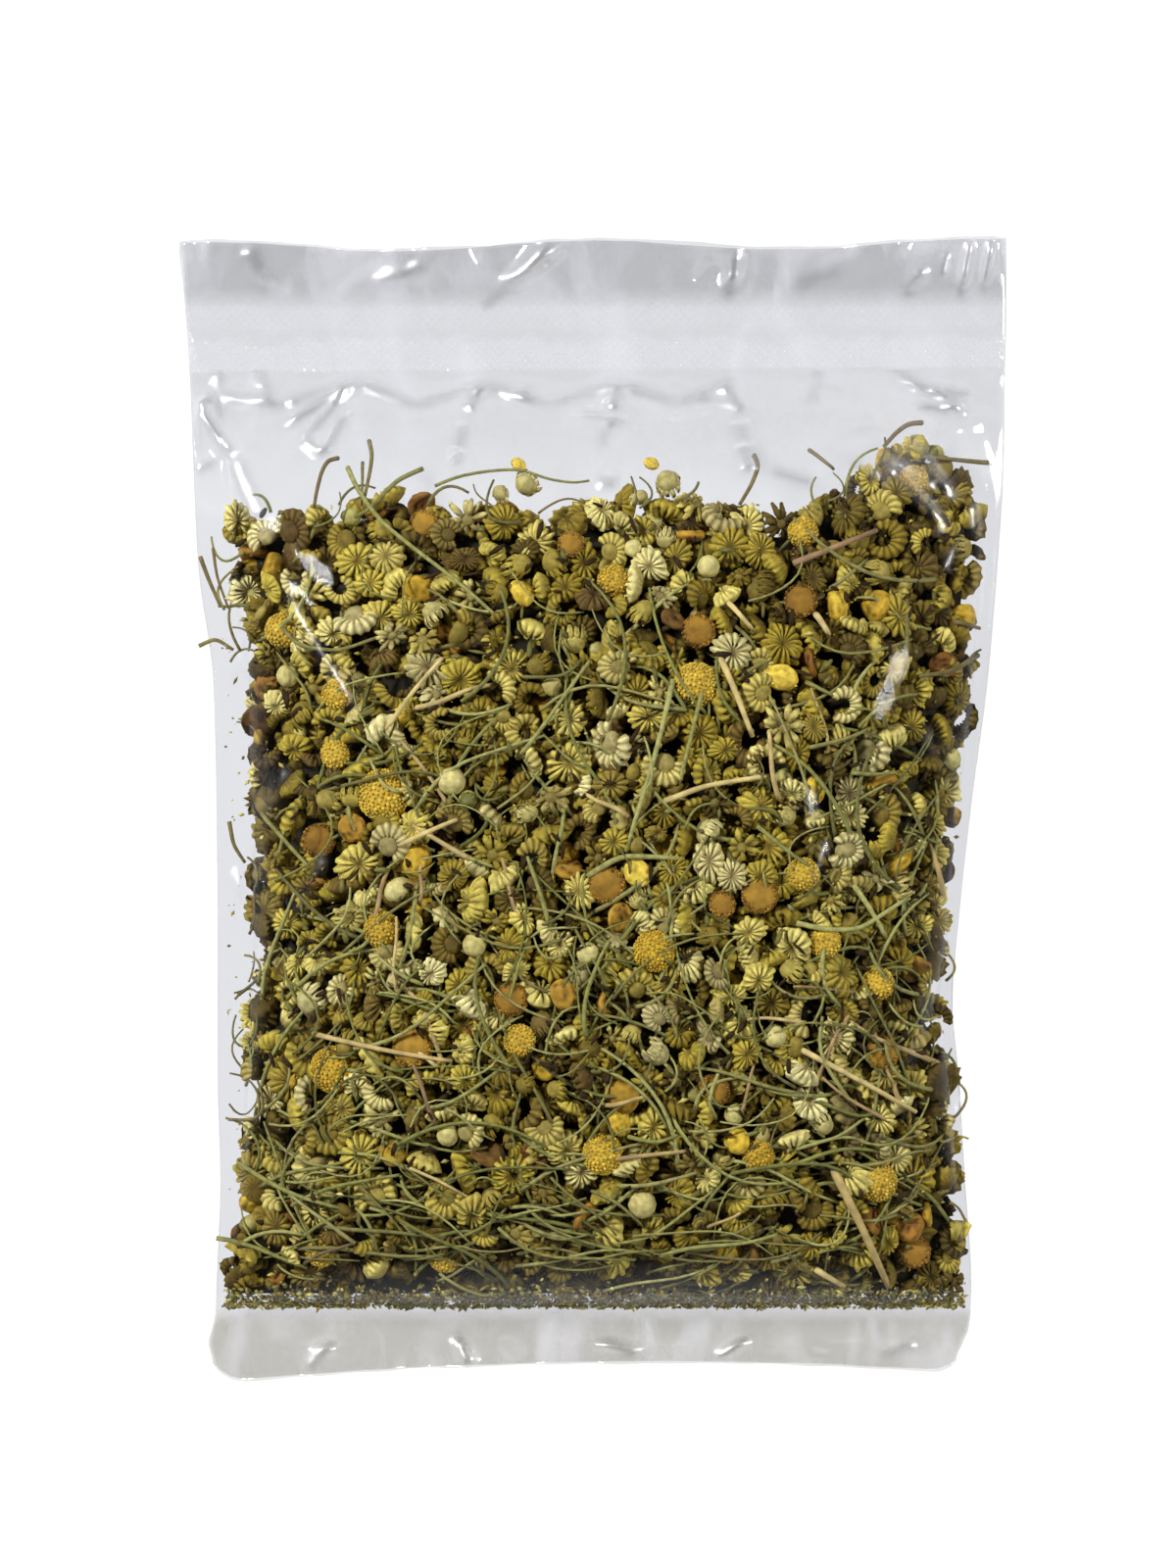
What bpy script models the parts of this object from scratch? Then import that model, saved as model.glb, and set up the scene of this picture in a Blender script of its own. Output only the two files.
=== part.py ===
"""Sealed clear bag of dried chamomile flowers, lying on its back on a table.

X runs across the bag, Y up its length to the crimped top, Z up from the table.
The origin is the middle of the flat underside. Lengths below are in millimetres
and are turned into metres by MM where a mesh is made.
"""

import math
import random

import bmesh
import bpy
from mathutils import Matrix, Vector
from mathutils.bvhtree import BVHTree
from mathutils.geometry import delaunay_2d_cdt

MM = 0.001
SEED = 1507

# Level along the bag, left edge, right edge
OUTLINE = (
    (-102.0, -69.0, 65.6),
    (-97.9, -69.7, 66.9),
    (-90.8, -68.4, 68.1),
    (-66.2, -67.0, 66.5),
    (-48.5, -67.4, 65.4),
    (-34.4, -67.4, 64.2),
    (-20.3, -67.4, 65.3),
    (0.9, -67.6, 67.6),
    (22.0, -68.1, 70.4),
    (43.2, -70.9, 72.3),
    (64.4, -72.1, 73.7),
    (92.6, -73.9, 74.4),
    (102.0, -74.8, 74.3),
)

# Level along the bag, height of the side folds, height of the crown, clear web left, clear web right
PROFILE = (
    (-102.0, 3.0, 3.0, 1.0, 1.0),
    (-90.8, 3.4, 3.4, 1.0, 1.0),
    (-86.0, 5.8, 12.0, 1.2, 1.0),
    (-76.0, 8.5, 21.5, 2.4, 1.2),
    (-55.0, 9.5, 27.5, 4.4, 1.5),
    (-20.0, 10.0, 30.0, 6.2, 1.8),
    (15.0, 10.0, 29.5, 6.2, 2.2),
    (40.0, 9.5, 25.5, 5.6, 2.8),
    (57.0, 8.5, 18.5, 5.6, 3.2),
    (68.0, 7.0, 11.5, 5.6, 3.6),
    (78.9, 5.0, 5.0, 5.6, 4.0),
    (102.0, 5.6, 5.6, 5.6, 4.0),
)
LEVEL, SEAM, CROWN, WEB_LEFT, WEB_RIGHT = range(5)

TOP_WELD = (78.9, 92.6)
BOTTOM_WELD = (-94.7, -90.8)
FILM_WALL = 0.7
FILM_GAP = 0.3
FILM_COLUMNS = 14
FILM_LEVELS = (
    -101.0, -97.8, -94.7, -90.8, -87.0, -82.0, -75.0, -64.0, -48.0, -25.0, 0.0, 20.0,
    36.0, 48.0, 57.0, 68.0, 78.9, 82.3, 85.7, 89.1, 92.6, 101.0,
)
CRIMP_RELIEF = 0.25
FRONT_FULLNESS = (2.4, 0.62)
BACK_FULLNESS = (5.0, 0.5)

FILL_BOTTOM = -88.0
FILL_TOP = 55.0
FILL_PEAK = (57.0, 10.0, 11.0)
EDGE_INSET = 1.8
SCALLOP = 3.5
SCALLOP_DEPTH = 1.0
RIM_HALF = 1.2
RIM_DEPTH = 4.0
CLEARANCE = 0.4
PIT_SIDES = 6

HEAD_RADIUS = (3.9, 5.0)
BACK_HEAD_RADIUS = (5.8, 7.0)
HEAD_SPACING = 0.82
HEAD_TRIES = 6000
HEAD_LEAN = 0.28
HEAD_SINK = 1.1
LOBES = (5, 6)
DIMPLE = 0.9
POINT_GAP = 0.75
LOOSE_MARGIN = 0.7
FLOWER_TILT = math.radians(17)

# Share of the radius, depth as a share of it, points for each lobe, and the depth of the grooves between
FRONT_RINGS = ((0.58, 0.02, 1, 0.0), (0.98, 0.44, 2, 0.7))
BACK_RINGS = ((0.8, 0.3, 2, 0.8),)

STEMS = 17
TOP_STEMS = 7
STEM_RADIUS = (0.5, 0.7)
STEM_SIDES = 3
STEM_PIECES = 6
STEM_MARGIN = 2.5

# Across, along and radius of the flowers whose colour stands out from the rest
YELLOW_DISCS = (
    (-37.2, 2.6, 4.9), (-46.0, -45.9, 4.3), (1.6, -60.5, 3.9), (10.4, -24.7, 3.8), (18.0, 21.6, 4.2),
    (50.1, -66.1, 3.9), (-55.4, 31.8, 3.4), (-45.2, 20.3, 2.8), (-45.6, 9.6, 2.8), (-13.0, -40.4, 2.9),
    (28.9, -60.9, 3.0), (36.9, 48.8, 2.8), (3.4, 40.2, 3.0), (40.4, -23.3, 3.0), (36.6, -11.4, 3.1),
    (-48.7, -79.0, 3.2), (-26.6, -79.6, 3.0), (57.0, 58.6, 3.0), (50.1, -30.9, 3.2), (-37.2, -21.2, 3.4),
)
ORANGE_DISCS = (
    (18.3, 31.2, 3.1), (36.3, 36.7, 3.1), (28.9, -15.0, 3.3), (22.4, -16.6, 2.4), (2.1, -13.2, 3.5),
    (20.8, -49.4, 3.2), (-31.9, -41.6, 3.7), (51.0, -43.2, 3.2), (-14.6, -33.2, 3.1), (57.4, -79.4, 3.0),
    (-48.6, -5.6, 3.2), (-30.2, 50.4, 2.7), (-4.1, 46.5, 2.4),
)
BUDS = (
    (-20.8, -23.8, 2.2), (20.1, 42.8, 2.1), (-25.8, -57.3, 2.1), (-54.2, 23.8, 2.2), (8.4, -69.6, 2.6),
    (-24.9, 4.9, 2.6), (31.6, -39.7, 2.1), (-1.1, -25.2, 2.1),
)

FILM_LOOK = ((0.83, 0.83, 0.86, 0.25), 0.12)
HEAP_LOOK = ((0.42, 0.38, 0.17, 1.0), 0.85)
YELLOW_LOOK = ((0.66, 0.50, 0.08, 1.0), 0.85)
ORANGE_LOOK = ((0.46, 0.22, 0.05, 1.0), 0.85)
BUD_LOOK = ((0.45, 0.46, 0.24, 1.0), 0.7)


def clear_scene():
    for old in list(bpy.data.objects):
        bpy.data.objects.remove(old, do_unlink=True)


def clamp(value, low, high):
    return max(low, min(high, value))


def slope_at(rows, index, column):
    """Slope of a table at one of its rows, flat where the values turn, so a curve never overshoots."""
    if index in (0, len(rows) - 1):
        return 0.0
    before = (rows[index][column] - rows[index - 1][column]) / (rows[index][LEVEL] - rows[index - 1][LEVEL])
    after = (rows[index + 1][column] - rows[index][column]) / (rows[index + 1][LEVEL] - rows[index][LEVEL])
    if before * after <= 0:
        return 0.0
    return 2 * before * after / (before + after)


def read_curve(rows, level, column):
    """Value at a level, on a smooth curve through the rows of a table."""
    level = clamp(level, rows[0][LEVEL], rows[-1][LEVEL])
    index = 0
    while index < len(rows) - 2 and level > rows[index + 1][LEVEL]:
        index += 1
    low, high = rows[index], rows[index + 1]
    span = high[LEVEL] - low[LEVEL]
    t = (level - low[LEVEL]) / span
    start = slope_at(rows, index, column) * span
    end = slope_at(rows, index + 1, column) * span
    rise = high[column] - low[column]
    return low[column] + t * (start + t * (3 * rise - 2 * start - end + t * (start + end - 2 * rise)))


def fullness(share, shape):
    """How far the film stands off between the folds: 1 in the middle, 0 at the clear webs."""
    power, root = shape
    return (1 - min(1.0, abs(share)) ** power) ** root


def fill_sides(level):
    left = read_curve(OUTLINE, level, 1) + read_curve(PROFILE, level, WEB_LEFT)
    right = read_curve(OUTLINE, level, 2) - read_curve(PROFILE, level, WEB_RIGHT)
    return left, right


def lip_opening(level):
    """The loose lips past each weld stand apart, more and more towards their edge."""
    if level > TOP_WELD[1]:
        return (level - TOP_WELD[1]) / (OUTLINE[-1][LEVEL] - TOP_WELD[1])
    if level < BOTTOM_WELD[0]:
        return (BOTTOM_WELD[0] - level) / (BOTTOM_WELD[0] - OUTLINE[0][LEVEL])
    return 0.0


def crimp(level):
    """Ridges of the top weld, one row up and the next one down."""
    if not TOP_WELD[0] < level < TOP_WELD[1]:
        return 0.0
    return CRIMP_RELIEF * math.cos(math.pi * (level - TOP_WELD[0]) / 3.4)


def film_heights(across, level):
    """Inner faces of the front and the back layer, at a share of the fill's width from -1 to 1."""
    seam = read_curve(PROFILE, level, SEAM)
    crown = read_curve(PROFILE, level, CROWN)
    front = seam + (crown - seam) * fullness(across, FRONT_FULLNESS) + FILM_GAP / 2
    back = seam - (seam - FILM_WALL) * fullness(across, BACK_FULLNESS) - FILM_GAP / 2
    weld = clamp((crown - seam) / 4.0, 0.0, 1.0)
    back = weld * back + (1 - weld) * (seam - FILM_GAP / 2)
    opening = lip_opening(level)
    front += opening * (1.3 + 0.9 * math.sin(9.0 * across + 0.6)) + crimp(level)
    back -= opening * (0.6 + 0.5 * math.sin(7.0 * across + 2.0)) - crimp(level)
    return front, max(back, FILM_WALL)


def edge_shift(x, level):
    """The lips aren't cut square: their edges wander, and the lower corners are rounded."""
    if level > TOP_WELD[1]:
        return lip_opening(level) * (-0.4 + 0.9 * math.cos(x / 11.0) + 0.004 * x)
    if level < BOTTOM_WELD[0]:
        corner = max(0.0, abs(x + 1.0) - 62.0) / 5.0
        return lip_opening(level) * (1.9 - 0.0006 * (x - 11.0) ** 2 + 2.6 * corner**2)
    return 0.0


def new_object(name, mesh, look):
    colour, roughness = look
    material = bpy.data.materials.new(name + "_finish")
    material.use_nodes = True
    shader = material.node_tree.nodes["Principled BSDF"]
    shader.inputs["Base Color"].default_value = colour
    shader.inputs["Alpha"].default_value = colour[3]
    shader.inputs["Roughness"].default_value = roughness
    shader.inputs["Metallic"].default_value = 0.0
    mesh.materials.append(material)
    made = bpy.data.objects.new(name, mesh)
    bpy.context.scene.collection.objects.link(made)
    return made


def mesh_from(build, name):
    """Closed mesh with its faces pointing out, from a bmesh in millimetres."""
    bmesh.ops.recalc_face_normals(build, faces=build.faces)
    bmesh.ops.scale(build, vec=(MM, MM, MM), verts=build.verts)
    bmesh.ops.triangulate(build, faces=build.faces)
    mesh = bpy.data.meshes.new(name)
    build.to_mesh(mesh)
    build.free()
    return mesh


def film_ring(level, inset):
    """One closed loop of film points at a level: front from left to right, then back from right to left."""
    left, right = read_curve(OUTLINE, level, 1), read_curve(OUTLINE, level, 2)
    fill_left, fill_right = fill_sides(level)
    shares = [math.sin(math.pi / 2 * (2 * i / FILM_COLUMNS - 1)) for i in range(FILM_COLUMNS + 1)]
    stations = [(left + inset, -1.0)]
    stations += [(fill_left + (share + 1) / 2 * (fill_right - fill_left), share) for share in shares]
    stations += [(right - inset, 1.0)]
    outward = FILM_WALL - inset
    front_row, back_row = [], []
    for x, share in stations:
        front, back = film_heights(share, level)
        y = level + edge_shift(x, level)
        front_row.append((x, y, front + outward))
        back_row.append((x, y, back - outward))
    return front_row + back_row[::-1]


def join_rings(build, first, second):
    count = len(first)
    for i in range(count):
        j = (i + 1) % count
        build.faces.new((first[i], first[j], second[j], second[i]))


def make_film():
    """The bag: a tube of film with folded sides, pressed flat at the welds and open only as a hair gap."""
    build = bmesh.new()
    outer = [[build.verts.new(p) for p in film_ring(level, 0.0)] for level in FILM_LEVELS]
    inner = [[build.verts.new(p) for p in film_ring(level, FILM_WALL)] for level in FILM_LEVELS]
    for skin in (outer, inner):
        for first, second in zip(skin, skin[1:]):
            join_rings(build, first, second)
    join_rings(build, outer[0], inner[0])
    join_rings(build, outer[-1], inner[-1])
    return new_object("clear_bag", mesh_from(build, "clear_bag"), FILM_LOOK)


def film_tree(film):
    points = [vertex.co / MM for vertex in film.data.vertices]
    return BVHTree.FromPolygons(points, [tuple(face.vertices) for face in film.data.polygons])


def film_face(tree, x, y, way):
    """Height of the film's inner face above or below the fold level, or None outside the bag."""
    start = Vector((x, y, read_curve(PROFILE, y, SEAM)))
    hit = tree.ray_cast(start, Vector((0, 0, way)))[0]
    return None if hit is None else hit.z


def fill_top(x):
    middle, height, width = FILL_PEAK
    bump = height * math.exp(-(((x - middle) / width) ** 2))
    return FILL_TOP + 1.6 * math.sin(x / 7.0) + 1.1 * math.sin(x / 3.1 + 1.0) + bump


def ring_points(radius, height, count, dip=0.0):
    """Points of a ring round Z. With a dip, every other point lies nearer the middle, as between ribs."""
    ring = []
    for i in range(count):
        angle = math.tau * i / count
        reach = radius * (1 - dip * (i % 2))
        ring.append(Vector((reach * math.cos(angle), reach * math.sin(angle), height)))
    return ring


def fan(build, ring, pole):
    for i, corner in enumerate(ring):
        build.faces.new((corner, ring[(i + 1) % len(ring)], pole))


def disc_head(radius, height, ring_size, dip):
    """Bare flower disc or bud: a dome over a rounded underside."""
    build = bmesh.new()
    rings = (
        ring_points(0.55 * radius, 0.84 * height, ring_size, dip=dip),
        ring_points(0.98 * radius, 0.3 * height, ring_size),
        ring_points(0.72 * radius, -0.45 * height, ring_size),
    )
    rows = [[build.verts.new(p) for p in ring] for ring in rings]
    for first, second in zip(rows, rows[1:]):
        join_rings(build, first, second)
    fan(build, rows[0], build.verts.new((0, 0, height)))
    fan(build, rows[-1], build.verts.new((0, 0, -0.75 * height)))
    return build


def turned(rng, tilt):
    axis = Vector((math.cos(rng.uniform(0, math.tau)), math.sin(rng.uniform(0, math.tau)), 0.01)).normalized()
    return Matrix.Rotation(rng.uniform(0, tilt), 3, axis) @ Matrix.Rotation(rng.uniform(0, math.tau), 3, "Z")


def seat(build, turn, x, y, tree):
    """Turns a flower, carries it to its place and brings it up to the film. False if it doesn't fit there."""
    bmesh.ops.rotate(build, cent=(0, 0, 0), matrix=turn, verts=build.verts)
    room = []
    for vertex in build.verts:
        ceiling = film_face(tree, x + vertex.co.x, y + vertex.co.y, 1)
        if ceiling is None:
            return False
        room.append(ceiling - vertex.co.z)
    bmesh.ops.translate(build, vec=(x, y, min(room) - CLEARANCE), verts=build.verts)
    return True


def helper_object(build, name, group):
    helper = bpy.data.objects.new(name, mesh_from(build, name))
    group.objects.link(helper)
    return helper


def far_enough(x, y, radius, taken, spacing):
    return all(math.hypot(x - a, y - b) > spacing * (radius + r) for a, b, r in taken)


def clear_of_loose(x, y, radius, loose):
    return all(math.hypot(x - a, y - b) > radius + r + LOOSE_MARGIN for a, b, r in loose)


def in_fill(x, y, margin):
    left, right = fill_sides(y)
    inside_sides = left + EDGE_INSET + margin < x < right - EDGE_INSET - margin
    return inside_sides and FILL_BOTTOM + margin < y < fill_top(x) - margin


def steps_between(low, high):
    count = round((high - low) / SCALLOP)
    return [low + (high - low) * i / count for i in range(count)]


def fill_outline():
    """Plan of the fill, anticlockwise from its lower left corner, scalloped by the flowers at its rim."""
    top_left = fill_top(fill_sides(FILL_TOP)[0])
    top_right = fill_top(fill_sides(FILL_TOP)[1])
    corners = []
    low_left, low_right = fill_sides(FILL_BOTTOM)
    for x in steps_between(low_left + EDGE_INSET, low_right - EDGE_INSET):
        corners.append((x, FILL_BOTTOM, 0, 1))
    for y in steps_between(FILL_BOTTOM, top_right):
        corners.append((fill_sides(y)[1] - EDGE_INSET, y, -1, 0))
    high_left, high_right = fill_sides(FILL_TOP)
    for x in steps_between(high_left + EDGE_INSET, high_right - EDGE_INSET):
        across = high_left + high_right - x
        corners.append((across, fill_top(across), 0, -1))
    for y in steps_between(FILL_BOTTOM, top_left):
        mirrored = FILL_BOTTOM + top_left - y
        corners.append((fill_sides(mirrored)[0] + EDGE_INSET, mirrored, 1, 0))
    deep = SCALLOP_DEPTH
    return [(x + deep * (i % 2) * a, y + deep * (i % 2) * b) for i, (x, y, a, b) in enumerate(corners)]


def inside_polygon(x, y, polygon):
    inside = False
    for (ax, ay), (bx, by) in zip(polygon, polygon[1:] + polygon[:1]):
        if (ay > y) != (by > y) and x < ax + (y - ay) / (by - ay) * (bx - ax):
            inside = not inside
    return inside


def choose_heads(rng, radii, loose):
    """Places for flower heads all over the fill, close enough to overlap a little."""
    taken = []
    for _ in range(HEAD_TRIES):
        y = rng.uniform(FILL_BOTTOM, FILL_TOP + FILL_PEAK[1])
        radius = rng.uniform(*radii)
        left, right = fill_sides(y)
        x = rng.uniform(left, right)
        if not in_fill(x, y, 0.45 * radius) or not far_enough(x, y, radius, taken, HEAD_SPACING):
            continue
        if all(math.hypot(x - a, y - b) > 0.55 * radius + r + LOOSE_MARGIN for a, b, r in loose):
            taken.append((x, y, radius))
    return taken


def head_points(rng, x, y, radius, rings):
    """Plan places and depths of one head: a dimple, the crown round it, then lobes with grooves between."""
    lobes = rng.choice(LOBES)
    turn = rng.uniform(0, math.tau)
    lean = rng.uniform(0, HEAD_LEAN)
    aim = rng.uniform(0, math.tau)
    sunk = rng.uniform(0, HEAD_SINK)
    points = [(x, y, sunk + DIMPLE)]
    for share, depth, count, groove in rings:
        for i in range(count * lobes):
            angle = turn + math.tau * i / (count * lobes)
            dipped = groove * (i % 2) if count == 2 else 0.0
            reach = radius * share * (1 - 0.4 * dipped)
            fall = depth * radius * (1 + dipped) + lean * radius * (1 - math.cos(angle - aim)) * share
            points.append((x + reach * math.cos(angle), y + reach * math.sin(angle), sunk + fall))
    return points


def under_film(tree, x, y, depth, way):
    """Height at a depth below the front film, or above the back film, that never passes the fold level."""
    seam = read_curve(PROFILE, y, SEAM)
    room = way * (film_face(tree, x, y, way) - seam) - CLEARANCE
    return seam + way * min(room, max(room - depth, RIM_HALF / 2))


def relief_points(tree, rng, radii, rings, loose, way):
    """Every point of one face of the heap, as across, along and height."""
    heads = choose_heads(rng, radii, loose)
    placed = []
    for number, (x, y, radius) in enumerate(heads):
        for i, (px, py, depth) in enumerate(head_points(rng, x, y, radius, rings)):
            others = heads[:number] + heads[number + 1:]
            buried = any(math.hypot(px - a, py - b) < 0.9 * r for a, b, r in others)
            crowded = i > 0 and any(math.hypot(px - a, py - b) < POINT_GAP for a, b, _ in placed)
            in_seat = any(math.hypot(px - a, py - b) < 1.2 * r + LOOSE_MARGIN for a, b, r in loose)
            if buried or crowded or in_seat or not in_fill(px, py, 1.5 * POINT_GAP):
                continue
            placed.append((px, py, under_film(tree, px, py, depth, way)))
    print(len(heads), "flower heads on the", "front" if way > 0 else "back")
    return placed


def seat_points(loose, floors):
    """A six-sided pit under each loose flower: its floor in the middle and round the edge."""
    points, edges = [], []
    for (x, y, radius), floor in zip(loose, floors):
        reach = (radius + CLEARANCE) / math.cos(math.pi / PIT_SIDES)
        first = len(points)
        points += [(x + p.x, y + p.y, floor) for p in ring_points(reach, floor, PIT_SIDES)]
        edges += [(first + i, first + (i + 1) % PIT_SIDES) for i in range(PIT_SIDES)]
        points.append((x, y, floor))
    return points, edges


def heap_face(build, outline, rim_heights, points, edges):
    """One face of the heap: its points joined into triangles inside the outline. Returns the rim's vertices."""
    count = len(outline)
    everything = [(x, y, z) for (x, y), z in zip(outline, rim_heights)] + points
    rim_edges = [(i, (i + 1) % count) for i in range(count)]
    all_edges = rim_edges + [(a + count, b + count) for a, b in edges]
    flat = [Vector((x, y)) for x, y, _ in everything]
    found = delaunay_2d_cdt(flat, all_edges, [], 0, 1e-5, True)
    places, faces, origins = found[0], found[2], found[3]
    vertices = []
    for place, origin in zip(places, origins):
        height = everything[origin[0]][2] if origin else read_curve(PROFILE, place.y, SEAM)
        vertices.append(build.verts.new((place.x, place.y, height)))
    for face in faces:
        middle = sum((places[i] for i in face), Vector((0, 0))) / len(face)
        if inside_polygon(middle.x, middle.y, outline):
            build.faces.new([vertices[i] for i in face])
    rim = {origin[0]: vertex for origin, vertex in zip(origins, vertices) if origin and origin[0] < count}
    return [rim[i] for i in range(count)]


def heap_mesh(tree, rng, loose, floors):
    """The fill as one solid: heads side by side on its front and back, and a wall between along the rim."""
    outline = fill_outline()
    front_heights = [under_film(tree, x, y, RIM_DEPTH, 1) for x, y in outline]
    back_heights = [under_film(tree, x, y, RIM_DEPTH, -1) for x, y in outline]
    front_points = relief_points(tree, rng, HEAD_RADIUS, FRONT_RINGS, loose, 1)
    back_points = relief_points(tree, rng, BACK_HEAD_RADIUS, BACK_RINGS, (), -1)
    pits, pit_edges = seat_points(loose, floors)
    pit_edges = [(a + len(front_points), b + len(front_points)) for a, b in pit_edges]
    build = bmesh.new()
    front_rim = heap_face(build, outline, front_heights, front_points + pits, pit_edges)
    back_rim = heap_face(build, outline, back_heights, back_points, [])
    join_rings(build, front_rim, back_rim)
    loners = [vertex for vertex in build.verts if not vertex.link_faces]
    bmesh.ops.delete(build, geom=loners, context="VERTS")
    return mesh_from(build, "flower_heap")


def tube(points, radius):
    """Thin stem through the points, four-sided, closed at both ends."""
    build = bmesh.new()
    rings = []
    for i, point in enumerate(points):
        ahead = (points[min(i + 1, len(points) - 1)] - points[max(i - 1, 0)]).normalized()
        side = ahead.cross(Vector((0, 0, 1))).normalized()
        lift = side.cross(ahead)
        ring = []
        for k in range(STEM_SIDES):
            angle = math.tau * (k + 0.5) / STEM_SIDES
            ring.append(build.verts.new(point + radius * (math.cos(angle) * side + math.sin(angle) * lift)))
        rings.append(ring)
    for first, second in zip(rings, rings[1:]):
        join_rings(build, first, second)
    build.faces.new(rings[0][::-1])
    build.faces.new(rings[-1])
    return build


def stem_route(rng, tree, x, y, heading, length):
    """A bowed line over the heads, with both ends sunk in the heap. None where it would leave the bag."""
    bow = rng.uniform(-0.25, 0.25)
    route = []
    for i in range(STEM_PIECES + 1):
        t = i / STEM_PIECES
        along = length * (t - 0.5)
        aside = length * bow * (1 - (2 * t - 1) ** 2)
        px = x + along * math.cos(heading) - aside * math.sin(heading)
        py = y + along * math.sin(heading) + aside * math.cos(heading)
        if not in_fill(px, py, STEM_MARGIN):
            return None
        ceiling = film_face(tree, px, py, 1)
        sunk = 4.2 * (abs(2 * t - 1) ** 4)
        route.append(Vector((px, py, ceiling - CLEARANCE - 1.3 - sunk)))
    return route


def add_stems(group, tree, rng, loose):
    """Stems lying over the heads, with both ends in the heap."""
    made = 0
    while made < STEMS:
        y = rng.uniform(FILL_BOTTOM + 6, FILL_TOP - 6)
        left, right = fill_sides(y)
        x = rng.uniform(left + 12, right - 12)
        level_lying = y < -55
        heading = rng.gauss(0, 0.35) if level_lying else rng.uniform(0, math.pi)
        route = stem_route(rng, tree, x, y, heading, rng.uniform(15, 34))
        if route is None or not all(clear_of_loose(p.x, p.y, 0.9, loose) for p in route):
            continue
        helper_object(tube(route, rng.uniform(*STEM_RADIUS)), "stem", group)
        made += 1


def add_top_stems(group, tree, rng):
    """Stems that stand out of the fill's upper edge into the empty part of the bag."""
    for i in range(TOP_STEMS):
        x = -50 + 100 * (i + rng.uniform(0.2, 0.8)) / TOP_STEMS
        lean = rng.uniform(-0.8, 0.8)
        foot = fill_top(x) - 8
        reach = rng.uniform(13, 17)
        route = []
        for k in range(STEM_PIECES + 1):
            t = k / STEM_PIECES
            px, py = x + lean * reach * t * t, foot + reach * t
            ceiling = film_face(tree, px, py, 1)
            floor = film_face(tree, px, py, -1)
            low = ceiling - 5.5
            route.append(Vector((px, py, max(floor + 1.2, low + 3.0 * t))))
        helper_object(tube(route, rng.uniform(*STEM_RADIUS)), "top_stem", group)


def fuse(target, group):
    """One Boolean union with every object of a collection, applied, and the collection's objects removed."""
    step = target.modifiers.new("fuse", "BOOLEAN")
    step.operation = "UNION"
    step.operand_type = "COLLECTION"
    step.collection = group
    step.solver = "MANIFOLD"
    graph = bpy.context.evaluated_depsgraph_get()
    mesh = bpy.data.meshes.new_from_object(target.evaluated_get(graph))
    target.modifiers.clear()
    target.data = mesh
    for helper in list(group.objects):
        bpy.data.objects.remove(helper, do_unlink=True)
    bpy.data.collections.remove(group)


def keep_main_body(target):
    """Fills the hollows that fusing sealed and drops loose scraps: only the largest surface stays."""
    build = bmesh.new()
    build.from_mesh(target.data)
    unseen = set(build.faces)
    bodies = []
    while unseen:
        body, edge = [], [unseen.pop()]
        while edge:
            face = edge.pop()
            body.append(face)
            for loop in face.loops:
                beside = loop.link_loop_radial_next.face
                if beside in unseen:
                    unseen.remove(beside)
                    edge.append(beside)
        bodies.append(body)
    bodies.sort(key=len)
    for scrap in bodies[:-1]:
        bmesh.ops.delete(build, geom=scrap, context="FACES")
    print(len(bodies) - 1, "scraps or sealed hollows removed,", len(build.faces), "faces left in", target.name)
    build.to_mesh(target.data)
    build.free()


def new_group(name):
    group = bpy.data.collections.new(name)
    bpy.context.scene.collection.children.link(group)
    return group


def make_loose_flowers(tree, rng):
    """Discs and buds in their own colours. Returns their places and the floor that each one's seat needs."""
    kinds = (
        ("yellow_disc", YELLOW_DISCS, YELLOW_LOOK, 0.62, 8, 0.12),
        ("orange_disc", ORANGE_DISCS, ORANGE_LOOK, 0.5, 8, -0.12),
        ("bud", BUDS, BUD_LOOK, 0.95, 6, 0.0),
    )
    spots, floors = [], []
    for kind, places, look, height, sides, dip in kinds:
        for number, (x, y, radius) in enumerate(places, start=1):
            name = f"{kind}_{number:02d}"
            build = disc_head(radius, height * radius, sides, dip)
            if not seat(build, turned(rng, FLOWER_TILT), x, y, tree):
                print(name, "doesn't fit and is left out")
                build.free()
                continue
            spots.append((x, y, radius))
            floors.append(min(vertex.co.z for vertex in build.verts) - CLEARANCE)
            flower = new_object(name, mesh_from(build, name), look)
            flower.data.shade_smooth()
            flower.data.set_sharp_from_angle(angle=math.radians(50))
    return spots, floors


def make_heap(tree, spots, floors, rng):
    """The fill's heads as one solid, with a seat for each loose flower, and the stems fused to it."""
    heap = new_object("flower_heap", heap_mesh(tree, rng, spots, floors), HEAP_LOOK)
    stems = new_group("stems")
    add_stems(stems, tree, rng, spots)
    add_top_stems(stems, tree, rng)
    fuse(heap, stems)
    keep_main_body(heap)


clear_scene()
bag = make_film()
inside = film_tree(bag)
draw = random.Random(SEED)
loose_spots, seat_floors = make_loose_flowers(inside, draw)
make_heap(inside, loose_spots, seat_floors, draw)
bag.data.shade_smooth()
bag.data.set_sharp_from_angle(angle=math.radians(40))
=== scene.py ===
# %% [markdown]
# # Sealed clear bag of dried chamomile flowers
# The object is a tube of clear film, welded across both ends, with a loose heap of dried chamomile in it.
# It lies on its back, and the camera looks down on it.
# The imported solids give every size: the film's shape, the fill's outline and the place of each loose flower.
# This script swaps those plain solids for fine ones that keep their form.

# %% Load the imported frame
import math
import random

import bmesh
import bpy
import numpy as np
from mathutils import Matrix, Vector, noise


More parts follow.
